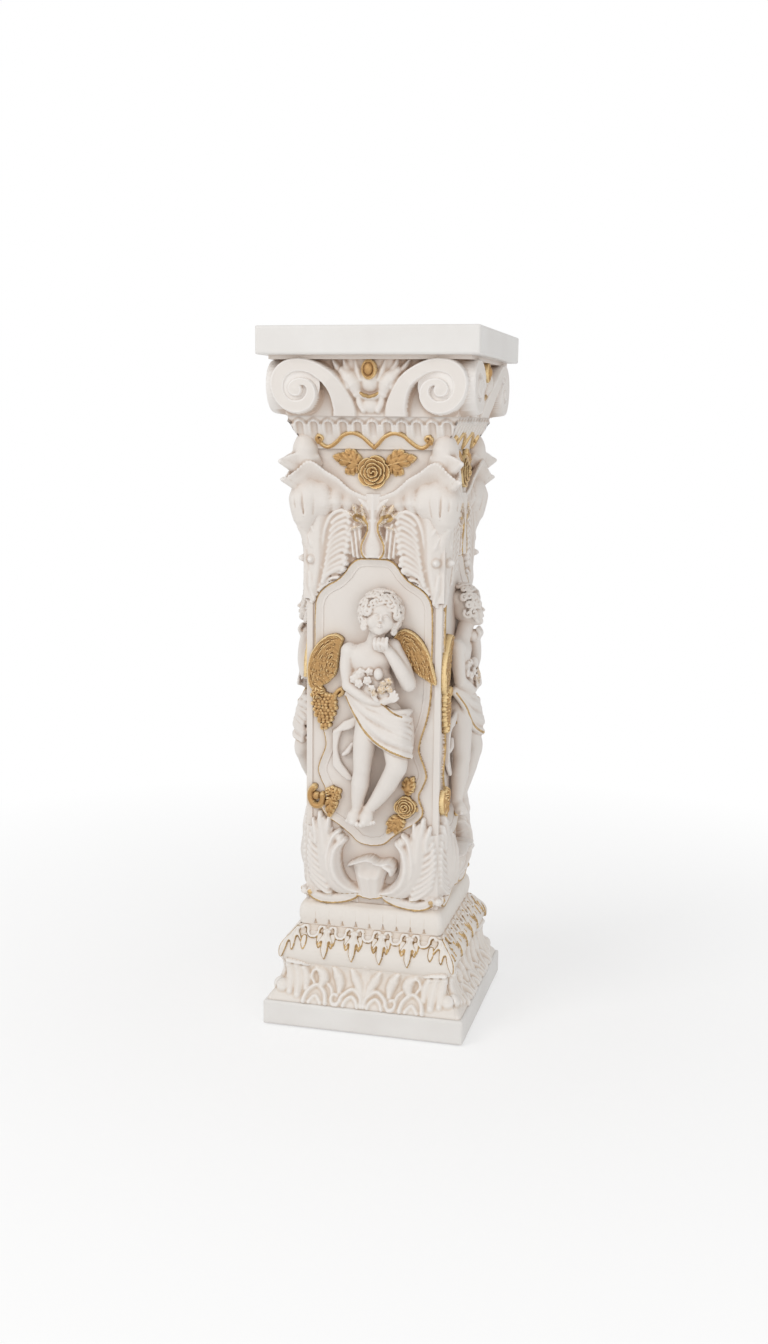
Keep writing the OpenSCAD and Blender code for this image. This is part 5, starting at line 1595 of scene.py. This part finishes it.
# Crest over the frame: vase, fluted fingers and great fronds
def build_crest():
    r = Relief(-82, 82, 497, 624, 0.9)
    u, w = r.u, r.w
    r.h[:] = np.where((w > 545) & (w < 623), 1.0, SUNK)
    for side in (-1, 1):
        rng = np.random.default_rng(4)

        def along(*points):
            return bend([(side * x, z) for x, z in points], 6)
        # Smooth outer blade from the frame's shoulder to the corner leaf
        r.blade(along((73, 500), (69, 520), (66, 545), (66, 572), (64, 600)), (3, 8, 12, 14, 15),
                (4, 6.5, 8.5, 9.5, 9), ribs=2, depth=1.1, base=1)
        r.blade(along((44, 533), (55, 537), (66, 545), (74, 560)), (3, 6, 7, 5), (4, 6, 7, 6),
                ribs=2, depth=0.8, base=1)
        # Broad frond with soft waves that curl over towards the vase
        r.blade(along((60, 530), (53, 548), (48, 568), (44, 588), (40, 603)), (6, 13, 15, 14, 8),
                (3.5, 5.5, 6.6, 6.6, 5), ribs=0, depth=0, base=1.2)
        for n in range(10):
            t = n / 9
            inner, z0 = 34 - 7 * t + rng.uniform(-1.4, 1.4), 539 + t * 60 + rng.uniform(-0.7, 0.7)
            outer, drop = 59 - 11 * t, 15 + 4 * math.sin(math.pi * t) - 7 * t
            path = along((outer, z0 - drop), (outer - 5, z0 - drop * 0.45), (inner + 9, z0 - 0.5),
                         (inner + 3, z0 + 1.6), (inner, z0 - 0.4))
            r.roll(path, 2.4, 3.5 + rng.uniform(-0.4, 0.4), 2.0, 2.9, base=6.9)
        r.roll(along((60, 560), (57, 582), (49, 599), (37, 605), (28, 600)), 3.0, 2.6, 2.6, 2.8,
               base=6.2, taper=True)
        for n in range(4):
            z0 = 519 + n * 6.4
            path = along((65 - n, z0 - 12), (58 - n, z0 - 3), (50 - n * 1.5, z0 + 3),
                         (42.5 - n * 2, z0 + 3.4))
            r.roll(path, 1.8, 2.5, 2.2, 2.8, base=4)
        # Small leaves and a curled bud beside the corner
        r.blade(along((70, 503), (73, 518), (75, 534)), (3, 4.6, 2.4), (4.5, 6.5, 5), ribs=1,
                depth=0.5, base=1.4)
        r.blade(along((66, 556), (71, 566), (76, 577)), (3.4, 5, 2.4), (7, 9, 7), ribs=1,
                depth=0.7, base=1.4)
        r.blade(along((64, 572), (69, 582), (75, 590)), (3.4, 4.6, 2.4), (8, 9.5, 8), ribs=1,
                depth=0.7, base=1.4)
        r.dome(side * 72.5, 549, 4.2, 8, base=6)
        # Fluted fingers beside the vase
        for x, low, high, tall in ((15.2, 553, 587, 9), (20.2, 553, 590, 9.8),
                                   (25.2, 554, 587, 9.2), (29.8, 557, 578, 8.2)):
            r.roll(along((x - 2.2, low), (x - 0.4, (low + high) / 2), (x + 1.6, high)), 2.1, 2.7,
                   tall - 4, tall - 2.6, base=2.2)
        # Brown gold leaves above the vase
        for points, wide in (([(9, 590), (12, 604), (12, 619)], 7),
                             ([(12, 594), (20, 605), (25, 616)], 7),
                             ([(12, 592), (23, 599), (32, 606)], 6.4),
                             ([(14, 588), (22, 586), (29, 581)], 4.2)):
            line_of = along(*points)
            r.blade(line_of, (wide * 0.4, wide * 0.75, wide * 0.6, wide * 0.1), (5, 6, 5.4, 3.6),
                    ribs=1, depth=1.1, base=5.6, gilt=0.42)
        # The ground round these leaves is darkened as well
        patch = np.clip(2 - 2 * np.hypot((u - side * 17) / 14, (w - 604) / 18), 0, 1)
        r.stain_and_shade = np.maximum(r.stain_and_shade, 0.8 * patch * (np.abs(u) > 5.5))
    # Vase and white lily
    silhouette = bend([(552, 8), (556, 11.6), (562, 13.2), (568, 12.6), (575, 9.4), (582, 6.4),
                       (588, 5.6), (593, 7.2), (598, 12), (602, 20)], 6)
    half = np.interp(w, silhouette[:, 0], silhouette[:, 1], left=0, right=0)
    body = 2.4 + 9 * np.sqrt(np.clip(1 - (np.abs(u) / np.maximum(half, 0.1)) ** 2, 0, 1))
    full = (slice(None), slice(None))
    r.add(full, np.where((np.abs(u) < half) & (w < 596), body, SUNK))
    r.blade(bend([(0, 584), (0, 596), (0, 608), (0, 621)], 6), (4, 6, 8, 11), (9, 9.5, 9.5, 9),
            ribs=2.5, depth=1.2, base=2.4)
    for side in (-1, 1):
        edge = [(side * q[1], q[0]) for q in silhouette if q[0] < 599]
        edge += [(side * 20.4, 600.6), (side * 21.6, 596), (side * 18.4, 593.6)]
        r.roll(edge, 1.7, 1.7, 2.6, base=8.6)
        r.gild(edge, 1.15)
        r.blade(bend([(side * 3, 600), (side * 9, 612), (side * 19, 620)], 5), (3, 5, 3.4),
                (7, 8, 7), ribs=1, depth=0.5, base=2.4)
    r.h = np.minimum(r.h, np.interp(np.abs(u), [70, 79, 82], [20, 8, 4.6]))
    r.h = np.where((np.abs(u) > 74) & (w > 503) & (w < 618), np.maximum(r.h, 4.6), r.h)
    # The frond area is darkened, fading out towards the corners and stopping below the leaves over
    # the vase
    r.stain_and_shade = np.maximum(r.stain_and_shade, 0.46 * np.clip((72 - np.abs(u)) / 10, 0, 1) * (w < 606))
    outline = frame_outline()
    part, gap, t, side = r.near(outline, 90)
    r.h[part] = np.where((side < 0) | (gap < 0.2), r.h[part], SUNK)
    return r.piece("crest", flat_face(PANEL), 3, 1.3)


four(build_crest(), "crest_carving", SIDES, RESIN, "resin_antique", ("crest",))


# Gold wings
WING_LEFT = [(-34, 459), (-38, 462.5), (-45, 464.5), (-55, 461.5), (-65, 453), (-73, 441),
             (-77, 427), (-77.5, 414), (-75.5, 403), (-70, 397.5), (-64, 399), (-59, 403.5),
             (-54, 406), (-49, 411), (-44, 416), (-41, 426), (-39, 440), (-36, 452)]
WING_RIGHT = [(24, 463), (30, 471), (38, 473.5), (48, 469.5), (58, 460), (66, 446), (71, 431),
              (74.5, 415), (73, 410.5), (66, 414), (58, 418.5), (50, 423.5), (44, 429), (37, 439),
              (30, 450), (25, 457)]

# Depth of a row of feathers, width of a strand, and how many strands follow on along the wing
FEATHER_ROW, STRAND, STRANDS_LONG = 9.5, 1.35, 15


def within(u, w, loop):
    """Which places lie inside a closed outline"""
    inside = np.zeros(u.shape, bool)
    for a, b in zip(loop, np.roll(loop, -1, axis=0)):
        crosses = (a[1] > w) != (b[1] > w)
        where = (a[0] + (w - a[1]) * (b[0] - a[0]) / (b[1] - a[1] if abs(b[1] - a[1]) > 1e-9
                                                      else 1e-9))
        inside ^= crosses & (u < where)
    return inside


def build_wings():
    r = Relief(-78.6, 76, 394, 477, 0.6)
    strands = np.random.default_rng(7).random((64, 64))
    for loop, lead in ((WING_LEFT, 10), (WING_RIGHT, 8)):
        ring = bend(loop + loop[:1], 5)
        part, gap, _, _ = r.near(ring, 60)
        u, w = r.u[part], r.w[part]
        inside = within(u, w, ring)
        edge = bend(loop[:lead], 5)
        front, place = far_from(u, w, edge)
        row = front / FEATHER_ROW + 0.35 * place
        step = row - np.floor(row)
        lift = 7.4 - 0.06 * front + 0.55 * (1 - step) * (np.floor(row) > 0)
        across = front / STRAND
        down = place * STRANDS_LONG + 0.41 * np.floor(front / STRAND)
        i, j = np.floor(across).astype(int), np.floor(down).astype(int)
        barb = ((strands[i % 64, j % 64] - 0.5) * 1.7
                * np.sin(np.clip(across - i, 0, 1) * math.pi) ** 0.5)
        notch = np.clip(1 - np.abs(np.sin(place * 21 + np.floor(row) * 1.9 + front * 0.12)) * 3.2,
                        0, 1)
        lift = lift + barb - 0.4 * notch * (front > 4)
        bead = (np.clip(1 - ((front - 1.0) / 1.0) ** 2, 0, 1) ** 0.5 * np.clip((0.62 - place) * 5,
            0, 1))
        lift = np.where((front < 2.0) & (place < 0.62), 7.0 + 1.4 * bead, lift)
        rim = np.clip(gap / 1.6, 0, 1) ** 0.5
        r.add(part, np.where(inside, lift * (0.55 + 0.45 * rim), SUNK), 1.0)
    return r.piece("wings", flat_face(PANEL), 0)


def far_from(u, w, path):
    """How far each place lies from a line, and beside which part of it"""
    best, place = np.full(u.shape, 1e9), np.zeros(u.shape)
    legs = np.diff(path, axis=0)
    lengths = np.hypot(legs[:, 0], legs[:, 1])
    run, total = 0.0, lengths.sum()
    for a, leg, length in zip(path[:-1], legs, lengths):
        s = np.clip(((u - a[0]) * leg[0] + (w - a[1]) * leg[1]) / max(length ** 2, 1e-9), 0, 1)
        gap = np.hypot(u - a[0] - s * leg[0], w - a[1] - s * leg[1])
        closer = gap < best
        best = np.where(closer, gap, best)
        place = np.where(closer, (run + s * length) / total, place)
        run += length
    return best, place


four(build_wings(), "wing_carving", SIDES, GOLD, "gold_paint", ("wings",))


# Gold grapes, leaves and roses beside the frame
def build_fruit():
    r = Relief(-80, 60, 226, 404, 0.6)
    rng = np.random.default_rng(5)
    for row in range(12):
        z = 392 - row * 3.4
        half = np.interp(row, [0, 3, 7, 11], [12, 14.5, 11, 4])
        middle = -57.5 + 0.15 * row
        count = max(2, round(half * 2 / 4.3))
        for n in range(count):
            x = middle - half + 2 * half * (n + 0.5 + 0.25 * (-1) ** row) / count
            swell = 3.2 * (1 - ((x - middle) / (half + 3)) ** 2)
            r.dome(x + rng.uniform(-0.6, 0.6), z + rng.uniform(-0.8, 0.8), rng.uniform(2.5, 3.1),
                   rng.uniform(2.8, 3.6), 1, base=2.4 + swell)
    for tip, wide in (((-74, 391), 6.4), ((-72, 401), 5.4), ((-60, 403), 6), ((-64, 388), 5)):
        r.leaf(bend([(-62, 393), ((-62 + tip[0]) / 2, (393 + tip[1]) / 2 + 1), tip], 5), wide, 6.6,
               3, 0.6, 0.25, 0.45, 1, 4, start=0.6)
    r.roll(bend([(-47, 384), (-45, 392), (-41, 398), (-36.5, 400.5), (-35.6, 397), (-39, 393)], 5),
           3, 2.4, 5, gilt=1, base=2)
    # Lower left: a curl round a pale bud, and a hanging leaf
    r.roll(bend([(-69, 283), (-73.2, 277.5), (-73.6, 269.5), (-69.8, 262), (-63.4, 261),
                 (-59.4, 266), (-59, 274)], 6), 4.0, 3.8, 6, gilt=1, base=2)
    r.dome(-67, 272.6, 5.0, 6, 0.45, base=2)
    for tip, wide in (((-36, 281), 7), ((-46, 286), 6.4), ((-54, 283), 5.4), ((-37, 271), 6.4),
                      ((-50.5, 246), 7), ((-43, 258), 6.4), ((-52, 262), 5)):
        r.leaf(bend([(-49, 274), ((-49 + tip[0]) / 2, (274 + tip[1]) / 2 + 0.6), tip], 5), wide, 6,
               3, 0.6, 0.25, 0.45, 1, 2.5, start=0.6)
    # Lower right: bud, rose and leaf in a slanting chain
    for tip, wide in (((50, 303), 7), ((41, 302), 6.4), ((52, 293), 6)):
        r.leaf(bend([(43, 284), ((43 + tip[0]) / 2 - 1, (284 + tip[1]) / 2 + 1), tip], 5), wide,
               6.6, 3, 0.6, 0.25, 0.45, 1, 2.5, start=0.6)
    r.dome(43, 290, 5.6, 7, 1, base=3)
    r.leaf(bend([(36, 268), (46, 270), (55, 262)], 5), 7, 5, 3, 0.6, 0.25, 0.45, 1, 2.5, start=0.6)
    r.rose(40.5, 267, 13, 8.5, petals=4, base=3, twist=0.7)
    for tip, wide in (((18, 233), 7), ((17, 244), 6), ((28, 233), 7), ((35, 238), 6)):
        r.leaf(bend([(35, 255), ((35 + tip[0]) / 2, (255 + tip[1]) / 2), tip], 5), wide, 6, 3, 0.6,
               0.25, 0.45, 1, 2.5, start=0.6)
    return r.piece("fruit", flat_face(PANEL), 0)


four(build_fruit(), "fruit_carving", SIDES, GOLD, "gold_paint", ("gilt_fruit",))


# Carving of the base: lobes and arches below, gilt leaf drops over the torus
BASE = moulded_face(BASE_PROFILE)


def build_lobes():
    v = BASE.at_level
    top = v(79)
    r = Relief(-116, 116, 0.2, top, 1.0)

    def line_at(points, side=1):
        return bend([(side * x, v(z)) for x, z in points], 6)
    reach = np.interp(r.w, [0, v(40), v(50), v(60), v(73), top], [114, 110, 102, 97, 98, 98])
    r.h[:] = np.where((np.abs(r.u) < reach - 1.5) & (r.w < v(72)), 0.4, SUNK)
    for side in (-1, 1):
        def blade(points, widths, highs, ribs=0, depth=0.0):
            r.blade(line_at(points, side), widths, highs, ribs=ribs, depth=depth, base=0.4,
                    power=2.6)

        def roll(points, wide, high):
            r.roll(line_at(points, side), wide, wide, high, base=0.4)
        # Palmette leaf beside the middle tongue
        blade([(2.5, 42), (7.5, 52), (13, 62), (16.5, 70)], (2.4, 5.4, 5.6, 2.4),
              (3.4, 5.8, 5.6, 3.6), 1, 0.5)
        # Arches one within the other
        roll([(1.5, 33.5), (4, 41), (14.5, 47.4), (25, 41), (27.5, 36)], 2.7, 4.2)
        roll([(6, 32.5), (9, 37.5), (14.5, 40.4), (20, 37.5), (23, 32.5)], 2.3, 3.4)
        roll([(27.5, 36), (31, 32.6), (36.5, 33.4), (38.6, 37.6), (36, 41.2), (32, 40.4)], 2.1, 3.6)
        # Lobes that rise and roll over
        blade([(30, 44), (30.5, 53), (34, 62), (38, 70)], (3, 5.6, 6, 2.8), (4, 6.4, 6.8, 4), 1,
              0.6)
        roll([(38, 40), (40, 46), (44.5, 50)], 2.2, 3)
        roll([(44.5, 33), (48, 42), (58, 48.6), (68, 42), (71.5, 33)], 2.7, 4.2)
        roll([(51, 32.5), (58, 38.6), (65, 32.5)], 2.2, 2.6)
        blade([(53, 49), (50.5, 57), (54, 64), (60, 68)], (4, 6.6, 6, 2.6), (5, 7.2, 6.4, 4), 1,
              0.6)
        roll([(62, 51), (65.5, 57), (64, 64), (59, 68.5)], 2.0, 4)
        # Folded shell leaf and ball at the corner
        blade([(71, 44), (72, 56), (76, 68)], (3.6, 5.6, 4), (4, 5.6, 5), 1, 0.5)
        blade([(80, 38), (81.5, 54), (85, 70)], (4, 7, 5.4), (4.6, 6, 5.4), 2, 0.7)
        blade([(90, 40), (91, 56), (94, 71)], (3.6, 6, 5), (4.4, 6, 5.4), 1, 0.5)
        r.roll(line_at([(70, 71.5), (77, 74), (86, 75.5), (95, 76.5)], side), 1.2, 2.8, 3.4, 4.2,
               base=0.6)
        r.dome(side * 99.5, v(45.5), 8.2, 6.6, base=0.8)
    r.blade(line_at([(0, 38), (0, 50), (0, 62), (0, 74)]), (2, 3, 6, 4), (3, 3.4, 2.2, 0.3),
            base=0.4)
    return r.piece("lobes", BASE, 2, 0.8)


around(build_lobes(), "base_carving", BASE_RESIN, "resin_antique", "base_lobes")


TOOTH = [(0, 113.4), (3.2, 113), (5.2, 110.4), (5.2, 107), (7, 104), (9.4, 100.4), (10.2, 96.4),
         (8.6, 94.8), (6.2, 97.4), (4.7, 99.4), (4.9, 95), (4.4, 90), (2.6, 85), (0, 80.5)]
SMALL_TOOTH = [(0, 112), (3, 111), (4.4, 107.4), (4.2, 102.6), (2.4, 98.4), (0, 96)]
CORNER_TOOTH = [(80, 113.2), (82.6, 109), (81, 105), (78.8, 101.4), (78.6, 98), (81.4, 98.6),
                (84.6, 102.4), (86, 102), (86.4, 96.4), (87.4, 91.4), (89.6, 88.4), (91.8, 90.4),
                (92.8, 95.6), (94.4, 97.4), (96, 92), (98.6, 85.4), (102, 79.6), (105.4, 80.4),
                (105.8, 90), (102, 98), (96.4, 104), (91, 110), (88, 113.2)]


def build_drops():
    v = BASE.at_level
    bottom, top = v(76), v(116) - 0.2
    r = Relief(-106, 106, bottom, top, 0.78)
    u, w = r.u, r.w

    def line_at(points):
        return bend([(x, v(z)) for x, z in points], 6)

    def tooth(points, high):
        """A pointed leaf cut out along an outline, with a thin gilt edge"""
        ring = line_at(points + points[:1])
        part, gap, _, _ = r.near(ring, 14)
        body = 0.6 + high * (1 - np.exp(-gap / 1.7))
        wins = within(u[part], w[part], ring) & (body > r.h[part])
        r.h[part] = np.where(wins, body, r.h[part])
        r.gilt[part] = np.where(wins, 0.9 * np.clip(1.6 - np.abs(gap - 0.95) / 0.55, 0, 1),
                                r.gilt[part])
    pitch = 33.4
    near_teeth = np.abs(np.cos(u / pitch * math.pi)) ** 2
    dip = v(105) + (v(110) - v(105)) * near_teeth
    r.h = np.where((w > dip) & (np.abs(u) < 86), 0.5, SUNK)
    # The band just below the torus is darkened, down to the dips between the teeth
    r.stain_and_shade = 0.42 * (w > dip)
    for k in (-1.5, -0.5, 0.5, 1.5):
        x = k * pitch
        for side in (-1, 1):
            hook = line_at([(x + side * 2.6, 112), (x + side * 6.4, 115), (x + side * 9.8, 112.6),
                            (x + side * 10.6, 107.6), (x + side * 13.2, 104.8),
                            (x + side * 16.7, 104)])
            r.roll(hook, 2.2, 1.9, 2.3, base=1.0)
            r.gild(line_at([(x + side * 5.8, 113.4), (x + side * 8.4, 111), (x + side * 9, 107),
                            (x + side * 12.4, 103.4), (x + side * 16.7, 102.6)]), 0.8, 0.75)
            r.gild(line_at([(x + side * 11.6, 112), (x + side * 12.2, 108.2),
                            (x + side * 14, 106.2), (x + side * 16.7, 105.4)]), 0.7, 0.6)
            tooth([(x + side * (7.6 + a), z - 3) for a, z in SMALL_TOOTH]
                  + [(x + side * (7.6 - a), z - 3) for a, z in SMALL_TOOTH[-2:0:-1]], 1.2)
        tooth([(x + a, z) for a, z in TOOTH] + [(x - a, z) for a, z in TOOTH[-2:0:-1]], 3.4)
        r.roll(line_at([(x, 111), (x, 100), (x, 89)]), 1.5, 0.9, 0.9, 0.5, base=3.6)
        r.dome(x - 2.6, v(109.4), 2.0, 1.6, base=3.2)
        r.dome(x + 2.6, v(109.4), 2.0, 1.6, base=3.2)
    for side in (-1, 1):
        hook = line_at([(side * 66.8, 104), (side * 70.2, 104.8), (side * 72.8, 107.6),
                        (side * 74, 112.6), (side * 77, 114.4), (side * 81, 112)])
        r.roll(hook, 1.9, 2.2, 2.3, base=1.0)
        r.gild(line_at([(side * 66.8, 102.6), (side * 71.4, 103.4), (side * 74.8, 107),
                        (side * 75.6, 111), (side * 78, 112.6)]), 0.9, 0.9)
        tooth([(side * (76.6 + a * 0.9), z - 6) for a, z in SMALL_TOOTH]
              + [(side * (76.6 - a * 0.9), z - 6) for a, z in SMALL_TOOTH[-2:0:-1]], 1.2)
        tooth([(side * a, z) for a, z in CORNER_TOOTH], 3.4)
        for spine in ([(83, 112), (83.6, 106), (81, 100.5)], [(87, 111), (89.4, 102), (89.8, 92)],
                      [(91, 108), (97, 98), (102.4, 84)]):
            r.groove(line_at([(side * a, z) for a, z in spine]), 1.1, 0.9)
    r.h = np.minimum(r.h, np.interp(w, [top - 3.4, top], [9, 0.5]))
    return r.piece("drops", BASE, 1, 0.6)


around(build_drops(), "drop_carving", BASE_RESIN, "resin_antique", "leaf_drops")
